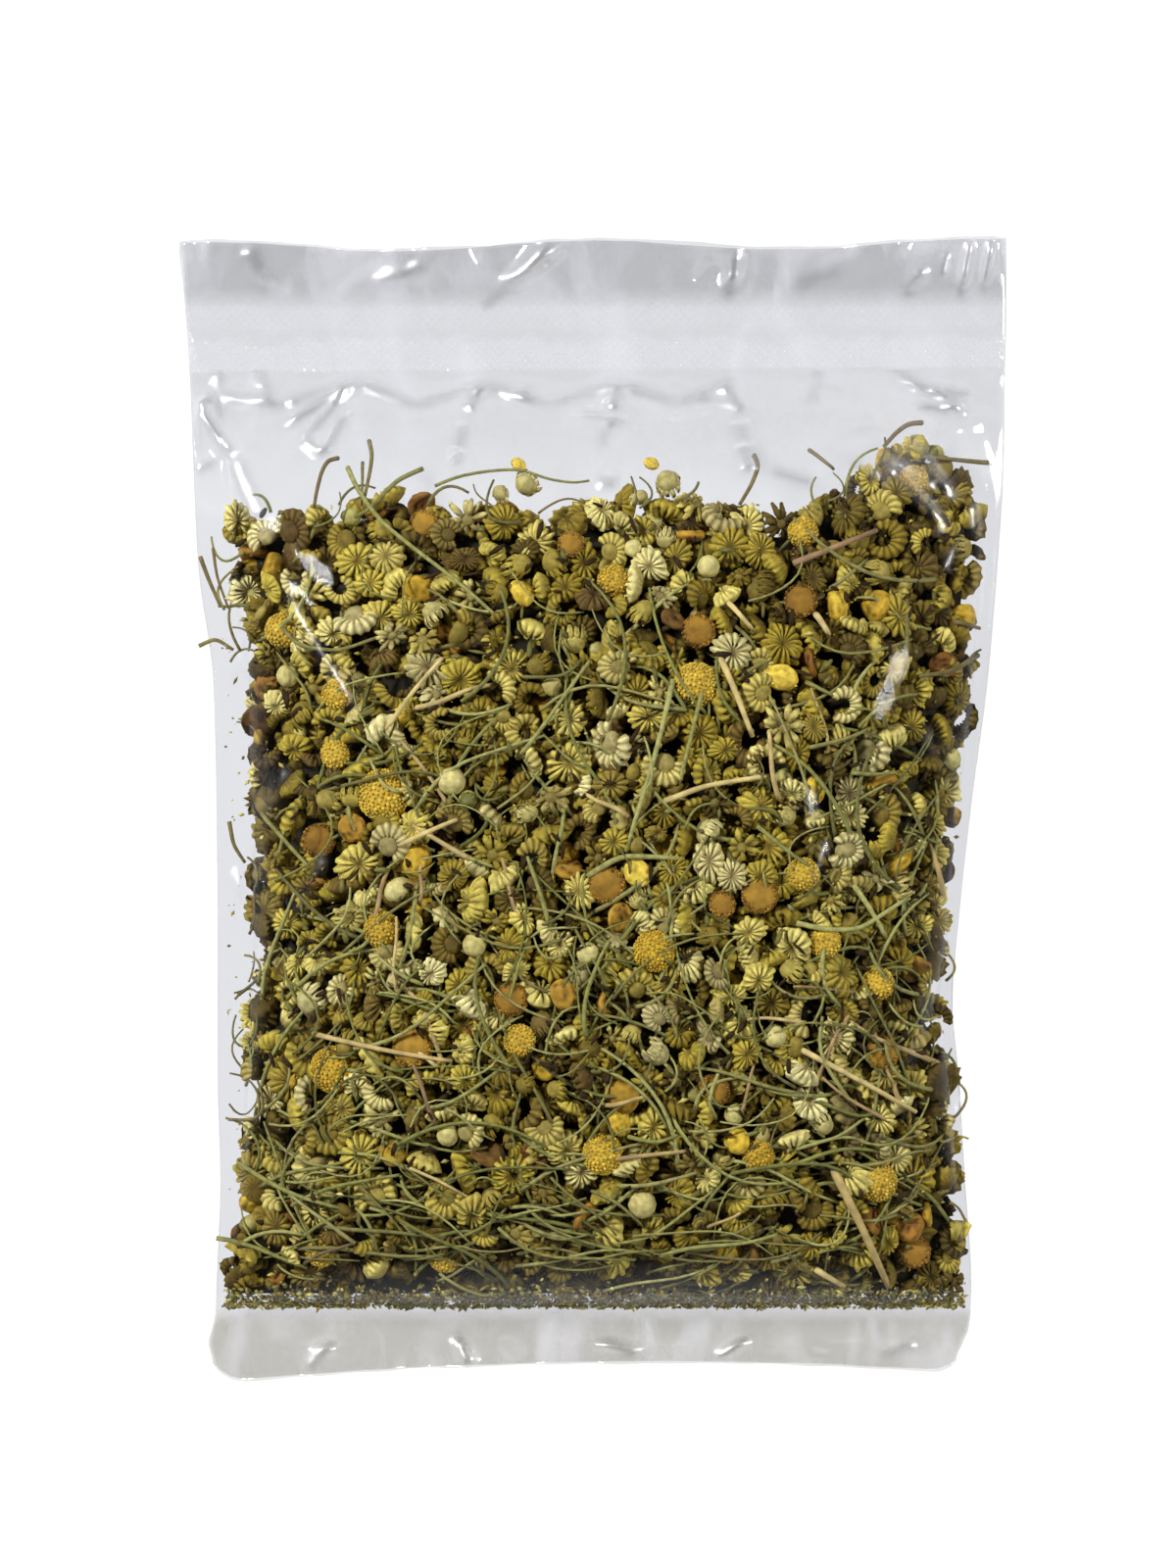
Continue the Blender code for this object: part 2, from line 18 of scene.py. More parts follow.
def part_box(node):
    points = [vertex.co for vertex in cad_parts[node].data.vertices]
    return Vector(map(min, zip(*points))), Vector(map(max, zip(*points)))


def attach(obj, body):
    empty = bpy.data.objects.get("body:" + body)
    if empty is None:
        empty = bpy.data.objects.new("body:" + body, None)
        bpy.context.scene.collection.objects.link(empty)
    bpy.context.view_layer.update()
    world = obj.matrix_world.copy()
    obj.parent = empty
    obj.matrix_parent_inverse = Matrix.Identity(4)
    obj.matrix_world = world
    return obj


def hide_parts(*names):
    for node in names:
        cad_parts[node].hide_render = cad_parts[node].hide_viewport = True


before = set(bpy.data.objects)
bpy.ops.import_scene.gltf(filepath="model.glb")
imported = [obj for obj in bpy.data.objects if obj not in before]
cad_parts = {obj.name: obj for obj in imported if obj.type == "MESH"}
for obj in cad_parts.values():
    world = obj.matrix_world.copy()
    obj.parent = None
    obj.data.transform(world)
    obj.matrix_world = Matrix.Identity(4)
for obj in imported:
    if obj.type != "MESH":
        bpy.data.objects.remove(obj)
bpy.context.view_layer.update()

MM = 0.001
ROOT = "root"
draw = random.Random(4021)

# %% [markdown]
# ## The shape of the bag, as curves
# A filled bag is wide where its film lies flat and narrow where the fill spreads the layers apart.
# A few levels along the bag carry its edges, the height of its side folds and the height of its crown.
# The film could be sculpted or simulated, but then nothing else would know where it is. Smooth curves through
# these levels, sampled once, let every later piece ask where the film is at any point.

# %% Level along the bag, left edge, right edge, in millimetres
OUTLINE = (
    (-102.0, -69.0, 65.6),
    (-97.9, -69.7, 66.9),
    (-90.8, -68.4, 68.1),
    (-66.2, -67.0, 66.5),
    (-48.5, -67.4, 65.4),
    (-34.4, -67.4, 64.2),
    (-20.3, -67.4, 65.3),
    (0.9, -67.6, 67.6),
    (22.0, -68.1, 70.4),
    (43.2, -70.9, 72.3),
    (64.4, -72.1, 73.7),
    (92.6, -73.9, 74.4),
    (102.0, -74.8, 74.3),
)

# Level along the bag, height of the side folds, height of the crown, clear web left, clear web right
PROFILE = (
    (-102.0, 3.0, 3.0, 1.0, 1.0),
    (-90.8, 3.4, 3.4, 1.0, 1.0),
    (-86.0, 5.8, 12.0, 1.2, 1.0),
    (-76.0, 8.5, 21.5, 2.4, 1.2),
    (-55.0, 9.5, 27.5, 4.4, 1.5),
    (-20.0, 10.0, 30.0, 6.2, 1.8),
    (15.0, 10.0, 29.5, 6.2, 2.2),
    (40.0, 9.5, 25.5, 5.6, 2.8),
    (57.0, 8.5, 18.5, 5.6, 3.2),
    (68.0, 7.0, 11.5, 5.6, 3.6),
    (78.9, 5.0, 5.0, 5.6, 4.0),
    (102.0, 5.6, 5.6, 5.6, 4.0),
)
TOP_WELD = (78.9, 92.6)
BOTTOM_WELD = (-94.7, -90.8)
CAD_WALL = 0.7
FRONT_FULLNESS = (2.4, 0.62)
BACK_FULLNESS = (5.0, 0.5)
FILL_BOTTOM = -88.0
FILL_TOP = 55.0
FILL_PEAK = (57.0, 10.0, 11.0)
LEVELS = np.linspace(OUTLINE[0][0], OUTLINE[-1][0], 817)
print("the curves pass through", len(OUTLINE), "levels of the outline and", len(PROFILE), "of the profile")


# %% Smooth curves through those rows
def slope_at(rows, index, column):
    """Slope at one row, flat where the values turn, so that the curve never overshoots."""
    if index in (0, len(rows) - 1):
        return 0.0
    before = (rows[index][column] - rows[index - 1][column]) / (rows[index][0] - rows[index - 1][0])
    after = (rows[index + 1][column] - rows[index][column]) / (rows[index + 1][0] - rows[index][0])
    if before * after <= 0:
        return 0.0
    return 2 * before * after / (before + after)


def sampled(rows, column):
    """The column's value at each of LEVELS."""
    values = []
    for level in LEVELS:
        index = 0
        while index < len(rows) - 2 and level > rows[index + 1][0]:
            index += 1
        low, high = rows[index], rows[index + 1]
        span = high[0] - low[0]
        t = (level - low[0]) / span
        start = slope_at(rows, index, column) * span
        end = slope_at(rows, index + 1, column) * span
        rise = high[column] - low[column]
        curl = 3 * rise - 2 * start - end + t * (start + end - 2 * rise)
        values.append(low[column] + t * (start + t * curl))
    return np.array(values)


LEFT, RIGHT = sampled(OUTLINE, 1), sampled(OUTLINE, 2)
SEAM, CROWN, WEB_LEFT, WEB_RIGHT = (sampled(PROFILE, column) for column in (1, 2, 3, 4))


def at(curve, y):
    return np.interp(y, LEVELS, curve)


def across_share(x, y):
    """-1 at the left end of the fill, 1 at its right end, held there over the clear webs."""
    left = at(LEFT + WEB_LEFT, y)
    right = at(RIGHT - WEB_RIGHT, y)
    return np.clip(2 * (x - left) / (right - left) - 1, -1, 1)


def fullness(share, shape):
    return (1 - np.abs(share) ** shape[0]) ** shape[1]


def front_height(x, y):
    """Inner face of the front film."""
    seam = at(SEAM, y)
    return seam + (at(CROWN, y) - seam) * fullness(across_share(x, y), FRONT_FULLNESS) + 0.15


def back_height(x, y):
    """Inner face of the back film."""
    seam = at(SEAM, y)
    weld = np.clip((at(CROWN, y) - seam) / 4, 0, 1)
    hung = seam - (seam - CAD_WALL) * fullness(across_share(x, y), BACK_FULLNESS)
    return np.maximum(weld * hung + (1 - weld) * seam - 0.15, CAD_WALL)


def fill_top(x):
    middle, height, width = FILL_PEAK
    bump = height * np.exp(-(((x - middle) / width) ** 2))
    return FILL_TOP + 1.6 * np.sin(x / 7) + 1.1 * np.sin(x / 3.1 + 1) + bump


def in_fill(x, y, margin):
    left = at(LEFT + WEB_LEFT, y) + margin
    right = at(RIGHT - WEB_RIGHT, y) - margin
    return left < x < right and FILL_BOTTOM + margin < y < fill_top(x) - margin


print("crown at the middle:", round(float(front_height(0.0, 0.0)), 1), "mm")

# %% [markdown]
# ## Small tools for making meshes and materials
# Every piece rides on the one body and says which solid it stands for.
# Meshes are modelled in millimetres, because flowers are small, and scaled to metres when they are done.
# Materials are built from a few kinds of node, so a helper for each kind keeps the recipes short.

# %% Making an object from a bmesh in millimetres
def finish_piece(obj, slot, *nodes):
    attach(obj, ROOT)
    if nodes:
        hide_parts(*nodes)
        print(obj.name, "stands for", *nodes)
    return obj


def object_from(name, mesh, material, smooth=True):
    mesh.materials.clear()
    mesh.materials.append(material)
    mesh.polygons.foreach_set("use_smooth", [smooth] * len(mesh.polygons))
    obj = bpy.data.objects.new(name, mesh)
    bpy.context.scene.collection.objects.link(obj)
    return obj


def mesh_from(build, name):
    mesh = bpy.data.meshes.new(name)
    build.to_mesh(mesh)
    build.free()
    return mesh


# %% Placing nodes in a material
def add_node(tree, kind, **settings):
    node = tree.nodes.new(kind)
    for key, value in settings.items():
        setattr(node, key, value)
    return node


def math_node(tree, operation, first, second=None):
    """A Math node whose inputs are numbers or sockets. Returns its output socket."""
    node = add_node(tree, "ShaderNodeMath", operation=operation)
    for socket, value in zip(node.inputs, (first, second)):
        if isinstance(value, bpy.types.NodeSocket):
            tree.links.new(value, socket)
        elif value is not None:
            socket.default_value = value
    return node.outputs[0]


def mix_colours(tree, factor, first, second, blend="MIX"):
    """A colour Mix node whose inputs are colours, numbers or sockets. Returns its output socket."""
    node = add_node(tree, "ShaderNodeMix", data_type="RGBA", blend_type=blend)
    for socket, value in zip((node.inputs[0], node.inputs[6], node.inputs[7]), (factor, first, second)):
        if isinstance(value, bpy.types.NodeSocket):
            tree.links.new(value, socket)
        else:
            socket.default_value = value
    return node.outputs[2]


def ramp(tree, factor, stops):
    """A colour ramp through (place, colour) stops. Returns its colour socket."""
    node = add_node(tree, "ShaderNodeValToRGB")
    elements = node.color_ramp.elements
    while len(elements) < len(stops):
        elements.new(0.5)
    for element, (place, colour) in zip(elements, stops):
        element.position = place
        element.color = (*colour, 1)
    tree.links.new(factor, node.inputs[0])
    return node.outputs[0]


def noise_texture(tree, vector, scale, detail=2.0, distortion=0.0):
    """A Noise texture whose scale is a number or a socket. Returns its value socket."""
    node = add_node(tree, "ShaderNodeTexNoise")
    tree.links.new(vector, node.inputs["Vector"])
    node.inputs["Detail"].default_value = detail
    node.inputs["Distortion"].default_value = distortion
    if isinstance(scale, bpy.types.NodeSocket):
        tree.links.new(scale, node.inputs["Scale"])
    else:
        node.inputs["Scale"].default_value = scale
    return node.outputs[0]


def fade(tree, value, start, end, top=1.0):
    """0 where value is at start, rising to top where it is at end, and held beyond both."""
    node = add_node(tree, "ShaderNodeMapRange")
    for socket, number in zip(node.inputs[1:5], (start, end, 0.0, top)):
        socket.default_value = number
    tree.links.new(value, node.inputs[0])
    return node.outputs[0]


def new_material(name, roughness):
    material = bpy.data.materials.new(name)
    material.use_nodes = True
    shader = material.node_tree.nodes["Principled BSDF"]
    shader.inputs["Roughness"].default_value = roughness
    print("material:", name)
    return material, material.node_tree, shader


# %% [markdown]
# ## How dried petals and florets vary
# No two dried flowers have one colour: each has its own shade and is mottled, and painted shade darkens its
# folds.
# A material for each shade would do, but then neighbours would look alike. Instead, what differs from flower
# to flower is stored on the mesh, in a colour attribute called paint: red is how much painted shade a point
# gets, deep in a fold or on an underside, and in the florets partly a tone that differs at random;
# green how near the flower's centre, blue its shade and alpha its age.
# A node group makes the mottling and the grain once, and every plant material reads it with its own scale.


# %% A node group for mottling and fine grain
def make_dried_group():
    group = bpy.data.node_groups.new("dried_surface", "ShaderNodeTree")
    for way, suffix in (("INPUT", " Scale"), ("OUTPUT", "")):
        for name in ("Mottle", "Grain"):
            group.interface.new_socket(name + suffix, in_out=way, socket_type="NodeSocketFloat")
    entry = add_node(group, "NodeGroupInput")
    leave = add_node(group, "NodeGroupOutput")
    place = add_node(group, "ShaderNodeTexCoord").outputs["Object"]
    for index, detail in ((0, 4.0), (1, 2.0)):
        group.links.new(noise_texture(group, place, entry.outputs[index], detail), leave.inputs[index])
    return group


dried_surface = make_dried_group()
print("node group:", dried_surface.name)


# %% One recipe for every plant finish
SPECKLE = [(0.3, (0.62, 0.6, 0.55)), (0.72, (1.25, 1.22, 1.1))]
GRAIN_DEPTH = 0.3 * MM


def plant_material(name, shades, fold, centre, aged, mottle=900.0, grain=4500.0, bump=0.25, roughness=0.8):
    """Shades run from the palest flower to the darkest. Fold is the tint of the painted shade, multiplied in
    where the paint's red is high; centre and aged are tints.
    """
    material, tree, shader = new_material(name, roughness)
    surface = add_node(tree, "ShaderNodeGroup", node_tree=dried_surface)
    surface.inputs["Mottle Scale"].default_value = mottle
    surface.inputs["Grain Scale"].default_value = grain
    paint = add_node(tree, "ShaderNodeAttribute", attribute_name="paint")
    parts = add_node(tree, "ShaderNodeSeparateColor")
    tree.links.new(paint.outputs["Color"], parts.inputs[0])
    stops = [(i / (len(shades) - 1), shade) for i, shade in enumerate(shades)]
    colour = ramp(tree, parts.outputs[2], stops)
    colour = mix_colours(tree, parts.outputs[1], colour, (*centre, 1))
    colour = mix_colours(tree, paint.outputs["Alpha"], colour, (*aged, 1))
    speckle = ramp(tree, surface.outputs[0], SPECKLE)
    colour = mix_colours(tree, 1.0, colour, speckle, "MULTIPLY")
    colour = mix_colours(tree, parts.outputs[0], colour, (*fold, 1), "MULTIPLY")
    tree.links.new(colour, shader.inputs["Base Color"])
    relief = add_node(tree, "ShaderNodeBump")
    relief.inputs["Strength"].default_value = bump
    relief.inputs["Distance"].default_value = GRAIN_DEPTH
    tree.links.new(surface.outputs[1], relief.inputs["Height"])
    tree.links.new(relief.outputs[0], shader.inputs["Normal"])
    shader.inputs["Specular IOR Level"].default_value = 0.3
    return material


CREAM = (
    (0.92, 0.86, 0.43), (0.84, 0.74, 0.21), (0.61, 0.50, 0.07), (0.37, 0.28, 0.024), (0.16, 0.115, 0.014),
)
DISC = ((0.88, 0.68, 0.10), (0.76, 0.54, 0.05), (0.54, 0.35, 0.03))
GREEN = ((0.45, 0.45, 0.17), (0.25, 0.26, 0.07), (0.11, 0.115, 0.03))
ORANGE = ((0.64, 0.38, 0.045), (0.47, 0.25, 0.03), (0.29, 0.13, 0.02))
BUD = ((0.76, 0.69, 0.30), (0.58, 0.53, 0.19), (0.42, 0.39, 0.12))
STRAW = ((0.80, 0.66, 0.30), (0.62, 0.48, 0.20), (0.44, 0.30, 0.14))
# The core's near-black colours are painted shade of the heap's depth.
CORE_SHADE = ((0.03, 0.022, 0.007), (0.015, 0.012, 0.004))
# In each finish, the tint after the shades is the colour of the painted shade in folds, grooves and
# undersides.
ray_finish = plant_material("folded_rays", CREAM, (0.17, 0.11, 0.03), (0.24, 0.19, 0.05), (0.15, 0.09, 0.025))
disc_finish = plant_material(
    "yellow_florets", DISC, (0.40, 0.26, 0.06), (0.85, 0.56, 0.05), (0.26, 0.13, 0.02)
)
orange_finish = plant_material(
    "orange_florets", ORANGE, (0.13, 0.085, 0.03), (0.26, 0.10, 0.015), (0.12, 0.06, 0.015), mottle=480.0
)
green_finish = plant_material(
    "green_stems", GREEN, (0.4, 0.38, 0.2), (0.5, 0.5, 0.25), (0.20, 0.14, 0.07), grain=3000.0
)
bud_finish = plant_material(
    "smooth_buds", BUD, (0.4, 0.36, 0.15), (0.26, 0.27, 0.08), (0.40, 0.26, 0.09), bump=0.1, roughness=0.6
)
straw_finish = plant_material(
    "straw", STRAW, (0.5, 0.4, 0.2), (0.6, 0.5, 0.25), (0.26, 0.15, 0.10), mottle=400.0
)
# The core's material is painted shade.
core_shade_finish = plant_material(
    "painted_shade_fill", CORE_SHADE, (0.5, 0.5, 0.5), (0.02, 0.02, 0.01), (0.02, 0.01, 0.01)
)

# %% [markdown]
# ## One flower of each kind
# Dried chamomile shows itself in a few forms. From behind, the folded rays make a ribbed cushion.
# From the side it is a small dome with hanging rays. Opened out it is a star.
# From the front it is a bare disc of florets, and the oldest ones are brown cups.
# Modelling each flower by itself would take days. A bump map on a ball would stay smooth in outline.
# So each form is modelled once at a radius of 1, with real ribs, and then copied, turned, scaled and shaded.
# The paint on each vertex comes from where it lies: painted shade deep between ribs and underneath, or a tint
# near the centre.


# %% Helpers for a form: its bmesh and its paint
def new_build():
    """An empty bmesh with its paint layer, which comes first: adding it later would drop the vertices."""
    build = bmesh.new()
    return build, build.verts.layers.float_color.new("paint")


def set_paint(layer, verts, rule):
    """rule gives (fold, centre) for a vertex; fold is the amount of painted shade."""
    for vertex in verts:
        fold, centre = rule(vertex.co)
        vertex[layer] = (min(1, max(0, fold)), min(1, max(0, centre)), 0, 0)


def add_ray(build, layer, angle, length, width, droop, curl, start=0.45, lift=0.0, fold=0.0):
    """One ray: a flat pod with closed ends that grows outwards, droops and curls."""
    made = bmesh.ops.create_icosphere(build, subdivisions=1, radius=1)["verts"]
    for vertex in made:
        t = (vertex.co.x + 1) / 2
        bend = droop * t + curl * t * t
        reach = start + length * t * math.cos(0.6 * bend)
        drop = length * t * math.sin(0.6 * bend)
        # Painted shade: darker towards the ray's root and on its underside.
        vertex[layer] = (fold * (1 - t) + 0.35 * (vertex.co.z < 0), 0, 0, 0)
        vertex.co = Vector((reach, vertex.co.y * width / 2, lift - drop + vertex.co.z * width / 4))
    bmesh.ops.rotate(build, cent=(0, 0, 0), matrix=Matrix.Rotation(angle, 3, "Z"), verts=made)


# %% The ribbed back of a flower
def ribbed_back(rng, ribs, across=3, rings=7):
    """A flattened dome of folded rays. Every rib has a groove column and ridge columns beside it."""
    build, layer = new_build()
    columns = across * ribs
    bmesh.ops.create_uvsphere(build, u_segments=columns, v_segments=rings, radius=1)
    lengths = [rng.uniform(0.86, 1.1) for _ in range(ribs)]
    heights = [rng.uniform(-0.1, 0.12) for _ in range(ribs)]
    sway = [rng.uniform(-0.09, 0.09) for _ in range(ribs)]
    dent = rng.uniform(0.22, 0.48)
    for vertex in build.verts:
        angle = math.atan2(vertex.co.y, vertex.co.x) % math.tau
        column = round(angle * columns / math.tau) % columns
        rib = column // across
        groove = 1.0 if column % across == 0 else 0.0
        flat = min(1.0, math.hypot(vertex.co.x, vertex.co.y))
        rise = vertex.co.z
        belly = math.sin(math.pi * min(flat, 0.98)) ** 0.5
        reach = flat * (1 - 0.15 * groove * flat) * (1 if groove else 1 + (lengths[rib] - 1) * flat)
        if not groove:
            angle += sway[rib] * flat
        if rise > 0:
            height = 0.62 * (1 - flat**3) ** 0.5 - 0.27 * groove * belly + heights[rib] * (1 - groove) * belly
            height -= dent * math.exp(-((flat / 0.27) ** 2))
        else:
            height = 0.42 * rise - 0.08 * groove * belly
            reach *= 0.84
        vertex.co = Vector((reach * math.cos(angle), reach * math.sin(angle), height))
        # Painted shade in the grooves, in the dent at the middle and on the underside.
        fold = max(0.9 * groove * belly, 0.9 * math.exp(-((flat / 0.2) ** 2)), 0.45 * (rise < -0.2))
        vertex[layer] = (fold, 0.0, 0, 0)
    return mesh_from(build, "ribbed_back")


# %% The rolled rim of a flower, which shows as a ribbed horseshoe
ROLL_REACH = 0.66


def rolled_rim(rng, ribs, sweep, sides=8):
    """A ring of folded rays seen askew: a circle spun part of the way round, with a rib every second step."""
    build, layer = new_build()
    steps = 2 * ribs
    upright = Matrix.Translation((ROLL_REACH, 0, 0)) @ Matrix.Rotation(math.pi / 2, 4, "X")
    bmesh.ops.create_circle(build, segments=sides, radius=0.36, matrix=upright)
    circle = build.verts[:] + build.edges[:]
    bmesh.ops.spin(build, geom=circle, cent=(0, 0, 0), axis=(0, 0, 1), angle=sweep, steps=steps)
    bmesh.ops.holes_fill(build, edges=[edge for edge in build.edges if edge.is_boundary])
    bmesh.ops.recalc_face_normals(build, faces=build.faces)
    jitter = [rng.uniform(0.9, 1.1) for _ in range(steps + 1)]
    for vertex in build.verts:
        angle = math.atan2(vertex.co.y, vertex.co.x) % math.tau
        step = round(angle * steps / sweep) % (steps + 1) if angle < math.tau - 0.01 else 0
        groove = float(step % 2 == 0)
        middle = Vector((ROLL_REACH * math.cos(angle), ROLL_REACH * math.sin(angle), 0))
        thin = 0.35 + 0.65 * math.sin(math.pi * (step + 0.6) / (steps + 1.2)) ** 0.4
        size = thin * (1 - 0.2 * groove) * jitter[step]
        vertex.co = middle + (vertex.co - middle) * size
        vertex.co.z = 0.85 * vertex.co.z - 0.25 * max(0.0, 0.5 - (vertex.co - middle).length)
        # Painted shade in the grooves between ribs and underneath.
        vertex[layer] = (0.85 * groove + 0.3 * (vertex.co.z < -0.1), 0, 0, 0)
    if sides > 5 and rng.random() < 0.75:
        shape = Matrix.Translation((0.0, 0.0, -0.1)) @ Matrix.Diagonal((0.52, 0.5, 0.3, 1))
        for vertex in bmesh.ops.create_icosphere(build, subdivisions=2, radius=1, matrix=shape)["verts"]:
            vertex[layer] = (0.55, 0.3, 0, 0)
    return mesh_from(build, "rolled_rim")


# %% A dome with hanging rays, an open star, a bare disc and a bud
def hanging_rays(rng, rays):
    build, layer = new_build()
    dome = bmesh.ops.create_uvsphere(build, u_segments=12, v_segments=7, radius=0.6)["verts"]
    for vertex in dome:
        vertex.co.z = 0.12 + 0.8 * vertex.co.z
    set_paint(layer, dome, lambda co: (0.15, 0.5 if co.z > 0.2 else 0.2))
    for i in range(rays):
        angle = math.tau * (i + rng.uniform(-0.2, 0.2)) / rays
        length, curl = rng.uniform(0.6, 0.9), rng.uniform(0.4, 1.6)
        add_ray(build, layer, angle, length, 0.34, 1.4, curl, start=0.36, lift=0.15, fold=0.6)
    return mesh_from(build, "hanging_rays")


def open_star(rng, rays):
    build, layer = new_build()
    heart = bmesh.ops.create_icosphere(build, subdivisions=2, radius=0.3)["verts"]
    set_paint(layer, heart, lambda co: (0.2, 0.8))
    for ring in range(2):
        for i in range(rays):
            angle = math.tau * (i + 0.5 * ring + rng.uniform(-0.3, 0.3)) / rays
            length, droop, curl = rng.uniform(0.6, 0.9), rng.uniform(-0.3, 0.8), rng.uniform(-0.4, 1.2)
            lift = 0.02 + 0.16 * ring
            add_ray(build, layer, angle, length, 0.3, droop, curl, start=0.12, lift=lift, fold=0.9)
    return mesh_from(build, "open_star")


def bare_disc(rng, height, hollow=0.0):
    """A granular disc with a full rim. With hollow above 0 its middle sinks, as in an old cup."""
    build, layer = new_build()
    bmesh.ops.create_icosphere(build, subdivisions=3, radius=1)
    offset = Vector((rng.uniform(0, 90), rng.uniform(0, 90), 0))
    for vertex in build.verts:
        flat = math.hypot(vertex.co.x, vertex.co.y)
        grain = 0.75 * noise.noise(vertex.co * 13 + offset)
        dent = hollow * math.exp(-((flat / 0.6) ** 4)) if vertex.co.z > 0 else 0
        rise = math.copysign(abs(vertex.co.z) ** 0.7, vertex.co.z)
        vertex.co = vertex.co * (1 + 0.1 * grain)
        vertex.co.z = rise * height * (1 + 0.25 * grain) - dent
        rim = 0.45 * max(0.0, 1 - abs(flat - 0.8) / 0.15) if hollow else 0.0
        # Painted shade in the dips of the grain and underneath; the old cups are also darker round their rim.
        vertex[layer] = (max(0, -2.2 * grain) + 0.5 * (rise < -0.1) + rim, min(1, 2 * dent), 0, 0)
    return mesh_from(build, "bare_disc")


def round_bud(rng):
    build, layer = new_build()
    bulb = bmesh.ops.create_uvsphere(build, u_segments=12, v_segments=8, radius=1)["verts"]
    for vertex in bulb:
        vertex.co.z = 1.05 * vertex.co.z + 0.15
    # Painted shade on the underside of the bud.
    set_paint(layer, bulb, lambda co: (0.5 * (co.z < -0.5), -0.2 - 0.9 * co.z))
    collar = bmesh.ops.create_cone(
        build, segments=9, radius1=0.35, radius2=0.95, depth=0.55, cap_ends=True,
        matrix=Matrix.Translation((0, 0, -0.7)),
    )["verts"]
    for vertex in collar:
        vertex.co.xy *= rng.uniform(0.85, 1.1)
    set_paint(layer, collar, lambda co: (0.4, 1.0))
    return mesh_from(build, "round_bud")


RIM_SWEEPS = ((9, 3.4), (10, 3.9), (11, 4.4), (12, 4.9), (13, 5.3), (8, 2.8))
HOOP_SWEEPS = ((8, 3.4), (9, 4.2), (10, 5.0))
FORMS = {
    "ribbed": [ribbed_back(draw, ribs) for ribs in (12, 13, 13, 14, 14, 15, 16, 17)],
    "plain": [ribbed_back(draw, ribs, across=2, rings=5) for ribs in (11, 12, 13, 14)],
    "rim": [rolled_rim(draw, ribs, sweep) for ribs, sweep in RIM_SWEEPS],
    "hoop": [rolled_rim(draw, ribs, sweep, sides=5) for ribs, sweep in HOOP_SWEEPS],
    "side": [hanging_rays(draw, rays) for rays in (11, 13, 14)],
    "star": [open_star(draw, rays) for rays in (7, 8, 9)],
    "disc": [bare_disc(draw, height) for height in (0.5, 0.62, 0.42)],
    "cup": [bare_disc(draw, 0.34, 0.14), bare_disc(draw, 0.4, 0.22)],
    "bud": [round_bud(draw) for _ in range(3)],
}
print("forms:", {kind: [len(mesh.polygons) for mesh in meshes] for kind, meshes in FORMS.items()})

# %% [markdown]
# ## Copying a form hundreds of times
# The bag holds far more flowers than separate objects could show, and instances would all share one shade.
# So the copies of one form are joined in one mesh. The corners of a form are read once as arrays. Each copy
# is then one matrix product and a shift, and carries its own shade and age in the paint.

# %% Reading a form, and joining many copies
def read_form(mesh):
    points = np.empty(len(mesh.vertices) * 3)
    mesh.vertices.foreach_get("co", points)
    paint = np.empty(len(mesh.vertices) * 4)
    mesh.attributes["paint"].data.foreach_get("color", paint)
    faces = [tuple(polygon.vertices) for polygon in mesh.polygons]
    return points.reshape(-1, 3), paint.reshape(-1, 4), faces


READ = {kind: [read_form(mesh) for mesh in meshes] for kind, meshes in FORMS.items()}
print("forms read:", sum(len(forms) for forms in READ.values()))


def join_copies(name, copies, material):
    """One object from (points in mm, paint, faces) copies."""
    points, paints, faces = [], [], []
    count = 0
    for placed, paint, form_faces in copies:
        points.append(placed)
        paints.append(paint)
        faces.extend(tuple(corner + count for corner in face) for face in form_faces)
        count += len(placed)
    mesh = bpy.data.meshes.new(name)
    mesh.from_pydata((np.concatenate(points) * MM).tolist(), [], faces)
    layer = mesh.attributes.new("paint", "FLOAT_COLOR", "POINT")
    layer.data.foreach_set("color", np.concatenate(paints).ravel())
    print(name, len(copies), "copies,", sum(len(face) - 2 for face in faces), "triangles")
    return object_from(name, mesh, material)


def shaded(paint, shade, age):
    tinted = paint.copy()
    tinted[:, 2] = shade
    tinted[:, 3] = age
    return tinted


def between_films(spots, clearance=0.25):
    """Press the points that stand too low or too high to the layers of film. Where these nearly meet,
    the piece is flattened but keeps a thickness, so that its faces never fold over."""
    z = spots[:, 2]
    low = back_height(spots[:, 0], spots[:, 1]) + clearance
    high = np.maximum(front_height(spots[:, 0], spots[:, 1]) - 0.1, low + 0.12)
    share = (z - z.min()) / max(np.ptp(z), 1e-6)
    tight = high - low < np.ptp(z)
    spots[:, 2] = np.where(tight, low + (high - low) * share, np.clip(z, low, high))
    return spots


def placed_form(rng, kind, x, y, radius, tilt, way, depth, shade, age, squash=1.0):
    """A copy of a form just under the front film (way 1) or just over the back film (way -1)."""
    points, paint, faces = rng.choice(READ[kind])
    aim = rng.uniform(0, math.tau)
    axis = Vector((math.cos(aim), math.sin(aim), 0))
    turn = Matrix.Rotation(tilt, 3, axis) @ Matrix.Rotation(rng.uniform(0, math.tau), 3, "Z")
    if way < 0:
        turn = Matrix.Rotation(math.pi, 3, "X") @ turn
    spread = np.array((radius, radius * rng.uniform(0.72, 1.0), radius * squash))
    bent = points.copy()
    bent[:, 2] += rng.uniform(-0.4, 0.25) * bent[:, 0] ** 2 + rng.uniform(-0.3, 0.3) * bent[:, 0] * bent[:, 1]
    spots = (bent * spread) @ np.array(turn).T + (x, y, 0)
    if way > 0:
        lift = np.min(front_height(spots[:, 0], spots[:, 1]) - spots[:, 2]) - depth
    else:
        lift = np.max(back_height(spots[:, 0], spots[:, 1]) - spots[:, 2]) + depth
    spots[:, 2] += lift
    return between_films(spots), shaded(paint, shade, age), faces


